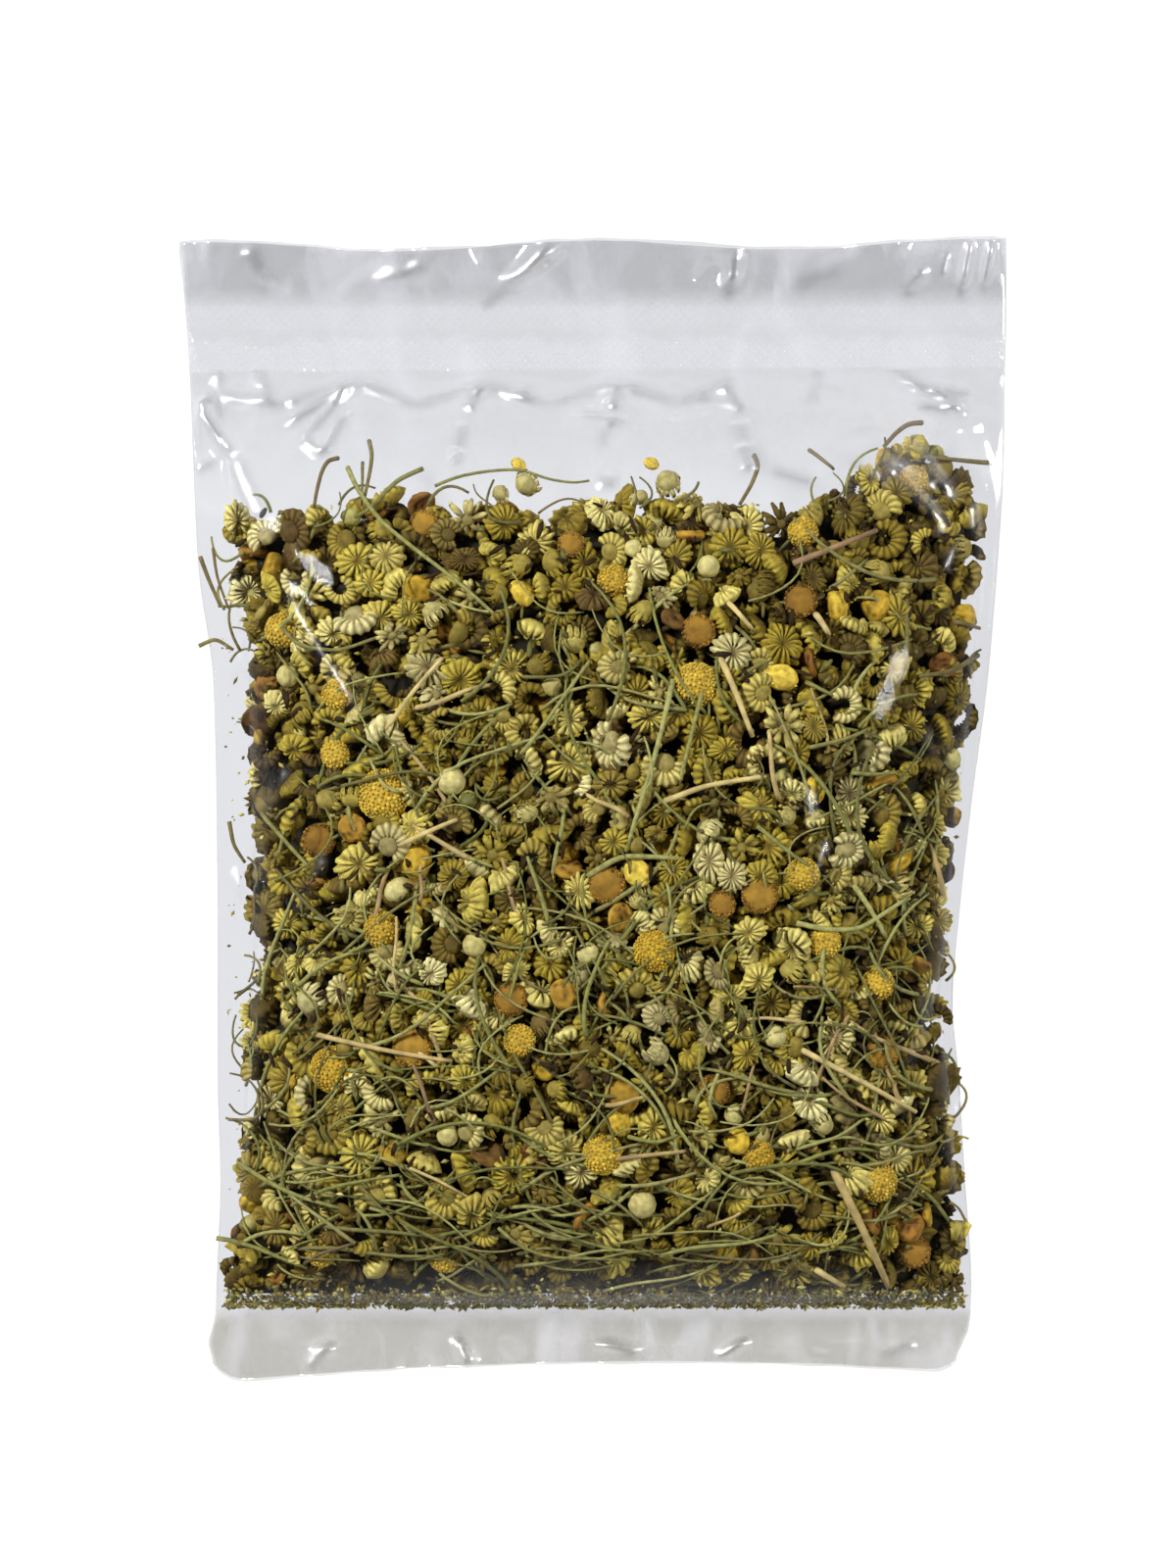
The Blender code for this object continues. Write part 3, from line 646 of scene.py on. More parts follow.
# %% [markdown]
# ## Filling the bag
# The flowers that touch the film show whole, and the ones below them close the gaps.
# A physics run could drop them into the bag, but it is slow and gives another heap each time it is changed.
# So places are drawn at random, layer by layer, and kept where they leave each flower enough room.
# The flowers whose colour stands out have solids of their own, and the others keep clear of them.

# %% Places of the loose flowers, read from the frame
LOOSE = {}
for node_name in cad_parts:
    if node_name.startswith(("yellow_disc", "orange_disc", "bud")):
        low, high = (np.array(corner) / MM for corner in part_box(node_name))
        LOOSE[node_name] = ((low + high) / 2, (high - low) / 2)
loose_spots = [(spot[0], spot[1], max(half[:2])) for spot, half in LOOSE.values()]
print("loose flowers with solids of their own:", len(loose_spots))


# %% Scattering flowers over one face of the heap
def spread_out(rng, wanted, radii, spacing, keep_clear, margin):
    """Places as (x, y, radius), none closer than spacing times the two radii."""
    cell = 2 * radii[1]
    grid = {}
    kept = []
    for x, y, radius in keep_clear:
        grid.setdefault((int(x // cell), int(y // cell)), []).append((x, y, radius))
    for _ in range(wanted * 40):
        if len(kept) == wanted:
            break
        y = rng.uniform(FILL_BOTTOM, FILL_TOP + FILL_PEAK[1])
        x = rng.uniform(-70, 72)
        radius = rng.uniform(*radii)
        if not in_fill(x, y, margin * radius):
            continue
        home = (int(x // cell), int(y // cell))
        cells = [(home[0] + i, home[1] + j) for i in (-1, 0, 1) for j in (-1, 0, 1)]
        near = [spot for place in cells for spot in grid.get(place, [])]
        if all(math.hypot(x - a, y - b) > spacing * (radius + r) for a, b, r in near):
            kept.append((x, y, radius))
            grid.setdefault(home, []).append(kept[-1])
    return kept


# Running share of the flowers, kind, how far it is tilted (a mean and a spread, or two limits), squash, size
KINDS = (
    (0.32, "ribbed", "gauss", 0.0, 0.55, (0.8, 1.2), 1.05),
    (0.48, "ribbed", "uniform", 1.0, 2.0, (0.7, 1.0), 1.1),
    (0.74, "rim", "gauss", 0.0, 0.6, None, 1.12),
    (0.82, "side", "uniform", 0.8, 2.0, None, 1.05),
    (0.90, "star", "gauss", 0, 0.6, None, 1.15),
    (0.925, "disc", "uniform", 0.0, 1.8, None, 0.85),
    (0.955, "cup", "uniform", 0.0, 1.6, None, 0.9),
    (0.967, "bud", "uniform", 0, 3, None, 0.5),
    (1.0, "ribbed", "uniform", 0.5, 1.4, None, 0.8),
)


def flower_kind(rng):
    """Kind, tilt, squash and relative size of the next flower, by how often each kind shows."""
    roll = rng.random()
    for upto, kind, law, first, second, squash, size in KINDS:
        if roll < upto:
            tilt = rng.gauss(first, second) if law == "gauss" else rng.uniform(first, second)
            return kind, tilt, rng.uniform(*squash) if squash else 1.0, size


FINISHES = {kind: ray_finish for kind in ("ribbed", "plain", "rim", "hoop", "side", "star")}
FINISHES.update(disc=disc_finish, cup=orange_finish, bud=bud_finish)


def fill_layer(rng, name, places, way, depth, plain=False):
    """Flowers at the places, joined by kind. The hidden layers are plain: fewer faces, and shades darkened as
    painted shade of their depth.
    """
    copies = {kind: [] for kind in FINISHES}
    for x, y, radius in places:
        kind, tilt, squash, size = flower_kind(rng)
        if plain and kind in ("ribbed", "side", "star"):
            kind = "plain"
        elif plain and kind == "rim":
            kind = "hoop"
        patch = noise.noise(Vector((x * 0.045, y * 0.045, 3.0)))
        # Darker towards the bottom and the upper right corner; the plain layers also get painted shade of
        # their depth.
        upper_right = min(1.0, max(0.0, (x - 25) / 30) * max(0.0, (y + 10) / 40))
        dark = 0.25 * (max(0.0, (-45.0 - y) / 45.0) + upper_right) + (0.40 if plain else 0.0)
        shade = min(1.0, max(0.0, rng.betavariate(1.1, 1.5) - 0.3 * patch + dark))
        age = min(0.9, max(0.0, rng.gauss(-0.12, 0.4) + 0.3 * patch))
        sunk = rng.uniform(*depth)
        copies[kind].append(placed_form(rng, kind, x, y, radius * size, tilt, way, sunk, shade, age, squash))
    for kind, made in copies.items():
        if made:
            finish_piece(join_copies(f"{name}_{kind}", made, FINISHES[kind]), "dried_heads")


front_places = spread_out(draw, 700, (2.8, 4.4), 0.60, loose_spots, 0.5)
lower_places = spread_out(draw, 540, (2.9, 3.9), 0.56, [], 0.45)
deep_places = spread_out(draw, 340, (3.2, 4.2), 0.62, [], 0.6)
back_places = spread_out(draw, 500, (3.0, 4.2), 0.60, [], 0.45)
print("places:", len(front_places), len(lower_places), len(deep_places), len(back_places))
fill_layer(draw, "front_heads", front_places, 1, (0.3, 2.0))
fill_layer(draw, "lower_heads", lower_places, 1, (2.2, 4.0), plain=True)
fill_layer(draw, "deep_heads", deep_places, 1, (4.2, 6.2), plain=True)
fill_layer(draw, "back_heads", back_places, -1, (-0.1, 1.2), plain=True)


# %% [markdown]
# ## The flowers whose colour stands out
# A bare chamomile disc is a cone of tiny florets set in two families of spirals.
# A noise bump would look like sand. Here each floret is a bead of twenty faces, placed by the golden angle,
# so the granular look is real relief. In the old orange discs the middle has sunk.

# %% Discs of florets
GOLDEN_ANGLE = math.radians(137.508)
FLORETS_PER_MM2 = 12


def floret_dome(rng, radius, height, florets, hollow):
    """A dome with a bead for each floret, and a ragged collar of short dry rays under it."""
    build, layer = new_build()
    base = bmesh.ops.create_uvsphere(build, u_segments=20, v_segments=10, radius=1)["verts"]
    for vertex in base:
        vertex.co = vertex.co * Vector((radius * 0.93, radius * 0.93, height * 0.9))
    # Painted shade on the dome between the florets.
    set_paint(layer, base, lambda co: (0.4, 0.0))
    for i in range(florets):
        share = math.sqrt((i + 0.5) / florets)
        angle = i * GOLDEN_ANGLE
        polar = share * 1.75
        aside = math.sin(polar)
        normal = Vector((aside * math.cos(angle), aside * math.sin(angle), math.cos(polar)))
        dent = hollow * height * math.exp(-((share / 0.5) ** 2))
        spot = Vector((normal.x * radius * 0.95, normal.y * radius * 0.95, normal.z * height * 0.95 - dent))
        size = 1.02 * radius / math.sqrt(florets) * rng.uniform(0.75, 1.25)
        bead = bmesh.ops.create_icosphere(build, subdivisions=1, radius=size)["verts"]
        # Each floret's tint differs at random, and in the old cups the middle is darker still.
        tint = rng.uniform(0.0, 0.6)
        if hollow:
            tint = min(1.0, 1.5 * tint + (0.3 if share < 0.25 else 0.0))
        for vertex in bead:
            vertex.co = vertex.co + spot + normal * rng.uniform(-0.08, 0.12) * size
            vertex[layer] = (tint, hollow * (1 - share), 0, 0)
    return build


def place_loose(name, spot, half, rng):
    radius = float(max(half[:2]))
    across, along = math.cos(rng.uniform(0, math.tau)), math.sin(rng.uniform(0, math.tau))
    tilt_axis = Vector((across, along, 0.01)).normalized()
    turn = Matrix.Rotation(rng.uniform(0, 0.25), 3, tilt_axis)
    if name.startswith("bud"):
        build = bmesh.new()
        build.from_mesh(rng.choice(FORMS["bud"]))
        bmesh.ops.scale(build, vec=(radius, radius, radius * 0.9), verts=build.verts)
        turn = Matrix.Rotation(rng.uniform(0, 1.2), 3, tilt_axis)
        material, slot = bud_finish, "green_buds"
    else:
        orange = name.startswith("orange")
        florets = round(FLORETS_PER_MM2 * radius * radius)
        build = floret_dome(rng, radius, float(half[2]) * 1.05, florets, 0.5 if orange else 0.0)
        material = orange_finish if orange else disc_finish
        slot = "orange_florets" if orange else "yellow_florets"
    bmesh.ops.rotate(build, cent=(0, 0, 0), matrix=turn, verts=build.verts)
    layer = build.verts.layers.float_color["paint"]
    shade, age = rng.uniform(0.0, 0.45), rng.uniform(0.0, 0.2)
    for vertex in build.verts:
        vertex[layer] = (vertex[layer][0], vertex[layer][1], shade, age)
        vertex.co = (vertex.co + Vector(spot)) * MM
    finish_piece(object_from(name + "_fine", mesh_from(build, name + "_fine"), material), slot, name)


for loose_name, (spot, half) in LOOSE.items():
    place_loose(loose_name, spot, half, draw)
print(len(LOOSE), "loose flowers in their seats")

# %% [markdown]
# ## Stems
# Thin green stems lie between and over the heads, most of them curved, and many lie level near the bottom.
# A few straw-coloured ones are thicker and straight, and some stand out above the fill.
# Bevelled curves would make tubes as well, but they can't carry a shade each. So a stem is a ring swept
# along its route, which follows the heads just under the film and dives in at its ends.

# %% Sweeping a stem
def stem_mesh(route, radius, sides, shade, age):
    """(points, paint, faces) of a tube along the route, thinner towards its end."""
    route = np.array(route)
    ahead = np.gradient(route, axis=0)
    ahead /= np.linalg.norm(ahead, axis=1)[:, None]
    side = np.cross(ahead, (0, 0, 1))
    side /= np.maximum(np.linalg.norm(side, axis=1)[:, None], 1e-6)
    lift = np.cross(side, ahead)
    taper = np.linspace(1.0, 0.7, len(route))[:, None]
    rings = []
    for k in range(sides):
        angle = math.tau * k / sides
        rings.append(route + radius * taper * (math.cos(angle) * side + math.sin(angle) * lift))
    points = np.stack(rings, axis=1).reshape(-1, 3)
    faces = []
    for i in range(len(route) - 1):
        for k in range(sides):
            j = (k + 1) % sides
            faces.append((i * sides + k, i * sides + j, (i + 1) * sides + j, (i + 1) * sides + k))
    faces.append(tuple(range(sides))[::-1])
    faces.append(tuple(range(len(points) - sides, len(points))))
    paint = np.tile((0.0, 0.0, shade, age), (len(points), 1))
    return points, paint, faces


def under_film(x, y, sunk):
    """Height at that depth under the front film, or half way between the layers where they come close."""
    front, back = front_height(x, y), back_height(x, y)
    return np.where(front - sunk > back + 0.6, front - sunk, (front + back) / 2 - 0.1)


def curved_route(rng, x, y, heading, length, bow, way, depth, dive, margin=0.8, pieces=10):
    """Points of a bowed line under the front film or over the back one, or None where it leaves the fill."""
    route = []
    wiggle = rng.uniform(-0.03, 0.03)
    for t in np.linspace(0, 1, pieces):
        along = length * (t - 0.5)
        aside = length * (bow * (1 - (2 * t - 1) ** 2) + wiggle * math.sin(2 * math.pi * t))
        px = x + along * math.cos(heading) - aside * math.sin(heading)
        py = y + along * math.sin(heading) + aside * math.cos(heading)
        if not in_fill(px, py, margin):
            return None
        sunk = depth + dive * abs(2 * t - 1) ** 3
        surface = under_film(px, py, sunk) if way > 0 else back_height(px, py) + sunk
        route.append((px, py, float(surface)))
    return route


def scatter_stems(rng, name, count, way, material, radii, lengths, bows, depths, aged=0.2, ceiling=FILL_TOP):
    copies = []
    while len(copies) < count:
        y = rng.triangular(FILL_BOTTOM + 1, ceiling, 0.7 * FILL_BOTTOM + 0.3 * ceiling)
        x = rng.uniform(-64, 64)
        level_lying = y < -52 and rng.random() < 0.6
        heading = rng.gauss(0, 0.4) if level_lying else rng.uniform(0, math.pi)
        length = rng.uniform(*lengths)
        bow = rng.choice((-1, 1)) * rng.uniform(*bows)
        depth, dive = rng.uniform(*depths), rng.uniform(0.5, 3.5)
        route = curved_route(rng, x, y, heading, length, bow, way, depth, dive)
        if route is not None:
            radius = rng.uniform(*radii)
            copies.append(stem_mesh(route, radius, 5, rng.betavariate(1.5, 2), abs(rng.gauss(0, aged))))
    return finish_piece(join_copies(name, copies, material), "dried_heads")


# Name, count, way, finish, limits of radius, length, bow and depth, then how aged and how high up
LOW_LINE = FILL_BOTTOM + 30
STEM_LOTS = (
    ("green_stems_front", 155, 1, green_finish, (0.22, 0.48), (7, 28), (0.0, 0.22), (0.3, 2.0)),
    ("green_stems_thin", 105, 1, green_finish, (0.16, 0.3), (5, 20), (0.05, 0.5), (0.3, 1.2), 0.12),
    ("green_stems_deep", 120, 1, green_finish, (0.22, 0.5), (8, 26), (0.0, 0.3), (2.0, 3.8)),
    ("green_stems_back", 120, -1, green_finish, (0.22, 0.48), (9, 30), (0.0, 0.3), (0.3, 1.5)),
    ("green_stems_low", 90, 1, green_finish, (0.22, 0.45), (8, 26), (0.0, 0.15), (0.3, 2.2), 0.3, LOW_LINE),
    ("straw_stems", 26, 1, straw_finish, (0.3, 0.6), (7, 20), (0.0, 0.05), (0.6, 2.0), 0.35),
    ("straw_stems_back", 24, -1, straw_finish, (0.3, 0.6), (8, 22), (0.0, 0.05), (0.4, 1.2), 0.35),
)
for lot in STEM_LOTS:
    scatter_stems(draw, *lot)


# %% Stems that reach out of the fill
def scatter_strays(rng, count):
    """Short bent stems that reach out of the fill into the clear webs and the head space."""
    copies = []
    while len(copies) < count:
        y = rng.uniform(-80, 52)
        side = rng.choice((-1, -1, 1))
        x = float(at(LEFT + WEB_LEFT, y)) if side < 0 else float(at(RIGHT - WEB_RIGHT, y))
        if rng.random() < 0.3:
            x = rng.uniform(-60, 64)
            y = float(fill_top(x))
        heading, length, bow = rng.uniform(0, math.pi), rng.uniform(5, 12), rng.uniform(-0.45, 0.45)
        route = curved_route(rng, x, y, heading, length, bow, 1, 0.8, 0.8, margin=-3.2)
        if route is not None:
            radius, shade, age = rng.uniform(0.18, 0.34), rng.uniform(0.3, 1.0), rng.uniform(0.0, 0.8)
            copies.append(stem_mesh(route, radius, 6, shade, age))
    return finish_piece(join_copies("stray_stems", copies, green_finish), "dried_heads")


scatter_strays(draw, 44)

# %% Stems that stand out: radius, shade, age, then places along the stem in the photo's pixels
PIXEL = 0.1764
PHOTO_ORIGIN = (606, 825)
GREEN_STEMS = (
    (0.42, 0.9, 0.9, (347, 470), (337, 473), (331, 484), (326, 507), (324, 521)),
    (0.42, 0.6, 0.5, (378, 452), (382, 467), (380, 487), (375, 512)),
    (0.32, 0.6, 0.4, (372, 475), (373, 495), (372, 520)),
    (0.45, 0.3, 0.1, (357, 480), (368, 504), (391, 536), (425, 564), (471, 599), (512, 636)),
    (0.45, 0.5, 0.2, (433, 482), (408, 494), (391, 513), (377, 527), (362, 533)),
    (0.30, 0.5, 0.2, (446, 500), (471, 490), (500, 485), (532, 483), (560, 494), (586, 498), (601, 495)),
    (0.42, 0.8, 0.8, (206, 569), (215, 593), (227, 620)),
    (0.30, 0.9, 0.9, (219, 560), (223, 590), (235, 622)),
    (0.50, 0.1, 0.0, (684, 697), (669, 763), (637, 867)),
    (0.55, 0.2, 0.1, (600, 891), (631, 871), (666, 872), (694, 874)),
    (0.42, 0.4, 0.1, (768, 842), (799, 868), (825, 885)),
    (0.50, 0.1, 0.0, (807, 938), (837, 945), (870, 945), (891, 932), (921, 914)),
    (0.50, 0.0, 0.0, (865, 901), (883, 927), (899, 955)),
    (0.40, 0.4, 0.2, (817, 699), (845, 713)),
    (0.40, 0.7, 0.4, (920, 615), (919, 676), (906, 715)),
    (0.50, 0.9, 0.5, (996, 669), (967, 687), (932, 692)),
    (0.45, 0.9, 0.7, (970, 636), (998, 642)),
    (0.40, 0.4, 0.2, (863, 789), (886, 791), (909, 788)),
    (0.45, 0.7, 0.7, (768, 468), (772, 480), (764, 500), (752, 520)),
    (0.40, 0.7, 0.8, (824, 462), (838, 474), (848, 482)),
    (0.50, 0.7, 0.9, (940, 432), (925, 434), (912, 444), (900, 458)),
    (0.45, 0.6, 0.7, (1008, 473), (985, 472), (960, 470), (938, 468)),
    (0.40, 0.5, 0.4, (290, 640), (310, 662), (352, 668), (395, 652)),
    (0.40, 0.6, 0.5, (205, 660), (222, 652), (240, 664)),
    (0.40, 0.7, 0.5, (236, 838), (240, 862), (252, 880)),
    (0.42, 0.4, 0.2, (270, 830), (310, 872), (322, 884)),
    (0.42, 0.3, 0.1, (562, 940), (552, 905), (540, 872)),
    (0.45, 0.4, 0.1, (245, 1185), (300, 1212), (352, 1226)),
    (0.45, 0.5, 0.1, (222, 1262), (262, 1268), (315, 1290)),
    (0.40, 0.3, 0.1, (430, 905), (424, 950), (412, 985)),
    (0.40, 0.4, 0.2, (640, 1150), (668, 1156), (690, 1148)),
    (0.40, 0.3, 0.1, (715, 700), (700, 760), (690, 800)),
)
STRAW_STEMS = (
    (0.60, 0.3, 0.0, (730, 673), (743, 702), (763, 753)),
    (0.55, 0.2, 0.0, (676, 817), (717, 801), (779, 792)),
    (0.60, 0.1, 0.0, (827, 631), (840, 651)),
    (0.50, 0.1, 0.0, (740, 620), (763, 646)),
    (0.55, 0.1, 0.0, (810, 1063), (870, 1095), (930, 1130)),
    (0.80, 0.5, 0.1, (845, 1185), (875, 1245), (905, 1310)),
    (0.60, 0.3, 0.0, (830, 1290), (860, 1310)),
    (0.50, 0.4, 0.2, (325, 1050), (400, 1065), (465, 1075)),
    (0.60, 0.7, 0.8, (805, 580), (850, 562), (890, 545)),
    (0.45, 0.2, 0.0, (400, 745), (425, 710), (455, 675)),
    (0.50, 0.2, 0.0, (415, 860), (440, 848), (470, 835)),
)


TOP_BUDS = (
    (530, 478, 1.5, "disc"), (538, 498, 3.5, "side"), (664, 477, 1.5, "disc"), (680, 496, 3.5, "side"),
    (512, 508, 2.6, "side"), (652, 512, 2.4, "side"), (412, 906, 2.6, "bud"),
)


def from_photo(px, py):
    """Millimetres in the bag's frame for a place in the photo, in pixels."""
    return (px - PHOTO_ORIGIN[0]) * PIXEL, (PHOTO_ORIGIN[1] - py) * PIXEL


def photo_route(places):
    """A smooth route through places in the photo, lying just under the film."""
    spots = np.array([from_photo(px, py) for px, py in places])
    stops = np.linspace(0, 1, len(spots))
    t = np.linspace(0, 1, 4 * len(spots))
    line = np.stack([np.interp(t, stops, spots[:, axis]) for axis in (0, 1)], axis=1)
    for _ in range(3):
        line[1:-1] = (line[:-2] + 2 * line[1:-1] + line[2:]) / 4
    return np.column_stack((line, under_film(line[:, 0], line[:, 1], 0.75 + 1.2 * np.abs(2 * t - 1) ** 4)))


for name, table, finish in (
    ("placed_green_stems", GREEN_STEMS, green_finish),
    ("placed_straw", STRAW_STEMS, straw_finish),
):
    copies = [stem_mesh(photo_route(row[3:]), row[0], 8, row[1], row[2]) for row in table]
    finish_piece(join_copies(name, copies, finish), "dried_heads")
for kind, finish in (("bud", bud_finish), ("disc", disc_finish), ("side", ray_finish)):
    copies = [
        placed_form(draw, kind, *from_photo(px, py), radius, 0.5, 1, 0.4, 0.1, 0.0)
        for px, py, radius, what in TOP_BUDS if what == kind
    ]
    finish_piece(join_copies("placed_" + kind, copies, finish), "dried_heads")

# %% [markdown]
# ## The settled middle of the fill
# Behind the visible flowers the heap is dense and lies in deep shade. Filling it with more flowers would cost
# half a million faces that nobody sees. A closed, uneven body fills it instead, coloured almost black as
# painted shade, so that no light falls through from the other side. It is a grid and its copy, bridged round
# their edges.

# %% Core painted almost black as shade, which stands for the heap's solid
CORE_COLUMNS, CORE_ROWS = 44, 60
CORE_DEPTH = 8.0
CORE_FLOOR = 2.8


def make_core():
    build, layer = new_build()
    bmesh.ops.create_grid(build, x_segments=CORE_COLUMNS, y_segments=CORE_ROWS, size=1)
    top = list(build.verts)
    copy = bmesh.ops.duplicate(build, geom=build.verts[:] + build.edges[:] + build.faces[:])
    bottom = [item for item in copy["geom"] if isinstance(item, bmesh.types.BMVert)]
    for verts, way in ((top, 1), (bottom, -1)):
        for vertex in verts:
            t = (vertex.co.y + 1) / 2
            ragged = 0.02 * noise.noise(Vector((vertex.co.x, 14 * t, 3.0)) * 2.0)
            share = (0.95 + ragged) * math.sin(math.pi / 2 * vertex.co.x)
            x = 0.0
            for _ in range(3):
                ragged = 1.5 * noise.noise(Vector((x * 0.3, 0, 5.0)))
                y = FILL_BOTTOM + 0.5 + t * (float(fill_top(x)) - FILL_BOTTOM - 5.0 + ragged)
                left, right = float(at(LEFT + WEB_LEFT, y)), float(at(RIGHT - WEB_RIGHT, y))
                x = left + (share + 1) / 2 * (right - left)
            seam = float(at(SEAM, y))
            rough = 0.9 * noise.noise(Vector((x, y, 7.0 * way)) * 0.35)
            if way > 0:
                z = max(seam - 0.6, float(front_height(x, y)) - CORE_DEPTH + rough)
            else:
                z = min(seam - 1.4, float(back_height(x, y)) + CORE_FLOOR + rough)
            vertex.co = Vector((x, y, z)) * MM
            vertex[layer] = (0.2, 0.2, 0.5 + 0.4 * rough, 0)
    edges = [edge for edge in build.edges if len(edge.link_faces) == 1]
    bmesh.ops.bridge_loops(build, edges=edges)
    bmesh.ops.recalc_face_normals(build, faces=build.faces)
    core = object_from("settled_core", mesh_from(build, "settled_core"), core_shade_finish)
    return finish_piece(core, "dried_heads", "flower_heap")


make_core()

# %% [markdown]
# ## Crumbs, scraps and dust
# Handling breaks the flowers up, and what falls off collects at the lower weld and in the corners.
# A speckled texture there would lie flat on the film. These crumbs are loose bodies, with only eight faces
# each, because there are thousands of them. Broken rays and leaf scraps are flat pods of twenty faces.

# %% Crumbs between the flowers and along the lower weld
CRUMB_POINTS = np.array(((1, 0, 0), (0, 1, 0), (-1, 0, 0), (0, -1, 0), (0, 0, 0.8), (0, 0, -0.8)))
CRUMB_FACES = [(0, 1, 4), (1, 2, 4), (2, 3, 4), (3, 0, 4), (1, 0, 5), (2, 1, 5), (3, 2, 5), (0, 3, 5)]


def crumb(rng, x, y, size, way, depth):
    angle = rng.uniform(0, math.tau)
    turn = Matrix.Rotation(angle, 3, Vector((rng.random(), rng.random(), rng.random())).normalized())
    stretch = np.array((size * rng.uniform(1, 2.2), size, size * rng.uniform(0.5, 1)))
    points = (CRUMB_POINTS * stretch) @ np.array(turn).T
    z = front_height(x, y) - depth if way > 0 else back_height(x, y) + depth
    points += (x, y, float(z))
    paint = np.tile((0.0, 0.0, rng.random(), abs(rng.gauss(0, 0.4))), (6, 1))
    return between_films(points, 0.1), paint, CRUMB_FACES


def scatter_scraps(rng, name, count, material):
    """Loose rays and leaf scraps: pods of twenty faces, long and flat."""
    build, _ = new_build()
    bmesh.ops.create_icosphere(build, subdivisions=1, radius=1)
    points, paint, faces = read_form(mesh_from(build, "scrap"))
    copies = []
    while len(copies) < count:
        x, y = rng.uniform(-66, 66), rng.uniform(FILL_BOTTOM, FILL_TOP)
        if not in_fill(x, y, 1.5):
            continue
        size = np.array((rng.uniform(0.9, 2.2), rng.uniform(0.3, 0.6), rng.uniform(0.12, 0.3)))
        turn = Matrix.Rotation(rng.uniform(0, math.pi), 3, "Z") @ Matrix.Rotation(rng.gauss(0, 0.5), 3, "Y")
        bent = points * size
        bent[:, 2] -= rng.uniform(-0.1, 0.25) * bent[:, 0] ** 2
        spots = bent @ np.array(turn).T + (x, y, 0)
        spots[:, 2] += np.min(front_height(spots[:, 0], spots[:, 1]) - spots[:, 2]) - rng.uniform(0.3, 2.4)
        copies.append((between_films(spots), shaded(paint, rng.random(), abs(rng.gauss(0, 0.3))), faces))
    return finish_piece(join_copies(name, copies, material), "dried_heads")


scatter_scraps(draw, "ray_scraps", 420, ray_finish)
scatter_scraps(draw, "leaf_scraps", 200, green_finish)


def scatter_crumbs(rng, name, count, bottom_share, way, material, sizes):
    copies = []
    while len(copies) < count:
        x = rng.uniform(-67, 67)
        if rng.random() < bottom_share:
            y = -90.2 + abs(rng.gauss(0, 2.0))
            depth = rng.uniform(0.25, 0.5 + 0.35 * (y + 90.6))
        else:
            y = rng.uniform(FILL_BOTTOM, FILL_TOP)
            depth = rng.uniform(1.0, 4.0)
        left, right = at(LEFT, y) + 1.2, at(RIGHT, y) - 1.2
        if left < x < right:
            copies.append(crumb(rng, x, y, rng.uniform(*sizes), way, depth))
    return finish_piece(join_copies(name, copies, material), "dried_heads")


scatter_crumbs(draw, "dust_green", 1900, 0.85, 1, green_finish, (0.16, 0.6))
scatter_crumbs(draw, "dust_cream", 1500, 0.75, 1, ray_finish, (0.16, 0.6))
scatter_crumbs(draw, "dust_yellow", 600, 0.35, 1, disc_finish, (0.1, 0.3))
scatter_crumbs(draw, "dust_back", 900, 0.6, -1, ray_finish, (0.12, 0.45))

# %% [markdown]
# ## The film
# The bag is one tube of film: its front and back layers meet in a fold at each side, with no weld there.
# A grid is rolled into that tube. The height curves give its form, and wrinkles are added on top:
# puckers below the crimped weld, waves in the loose lips, creases where the film was folded,
# and low lumps where it lies on the flowers.
# Real film is under a tenth of a millimetre thick. Solidify gives it that thickness, so it is a closed body.

# %% Creases that show in the film: from x, y to x, y, with their width and height
FRONT_CREASES = (
    (-43.0, 76.9, -55.2, 68.8, 1.4, 1.4),
    (-43.9, 75.3, -52.0, 66.2, 1.2, 1.2),
    (-52.0, 66.2, -48.0, 63.2, 1.4, 1.1),
    (-44.3, 71.3, -48.0, 63.2, 1.4, 1.2),
    (-19.8, 76.4, -22.8, 71.3, 1.6, 1.4),
    (4.5, 76.6, 3.0, 71.5, 1.6, 1.4),
    (-67.0, 74.3, -56.0, 72.6, 1.6, 0.9),
    (-56.0, 72.6, -43.0, 76.9, 1.6, 0.9),
    (-43.0, 76.9, -32.0, 72.5, 1.6, 0.9),
    (-32.0, 72.5, -19.8, 76.6, 1.6, 0.9),
    (-19.8, 76.6, -8.0, 72.5, 1.6, 0.9),
    (-8.0, 72.5, 4.4, 76.8, 1.6, 0.9),
    (4.4, 76.8, 15.0, 72.8, 1.6, 0.9),
    (15.0, 72.8, 25.4, 77.5, 1.6, 0.9),
    (-68.6, 74.3, -71.1, 72.3, 1.4, 1.2),
    (-71.1, 72.3, -65.3, 63.7, 1.6, 1.5),
    (-65.3, 63.7, -59.3, 51.0, 2.5, 1.1),
    (-55.0, 38.0, -40.0, 15.0, 1.4, 1.2),
    (52.7, 80.0, 66.9, 71.4, 1.6, 1.5),
    (66.9, 71.4, 58.0, 72.5, 1.4, 1.1),
    (60.0, 76.0, 68.0, 74.0, 1.4, 1.2),
    (51.9, 62.6, 62.4, 50.3, 1.6, 1.2),
    (57.0, 66.0, 64.0, 56.0, 1.4, 0.9),
    (22.8, 76.5, 27.0, 71.0, 1.6, 1.4),
    (25.0, 70.0, 30.0, 60.0, 2.5, 0.8),
    (65.1, -27.0, 56.5, -47.5, 1.9, -1.6),
    (65.0, -34.0, 58.0, -34.5, 1.4, -1.0),
    (-64.0, -11.0, -62.5, -16.5, 1.9, 1.4),
    (36.0, 4.0, 38.0, -4.0, 1.6, 0.7),
    (40.0, -6.0, 37.0, -15.0, 1.5, 0.7),
)
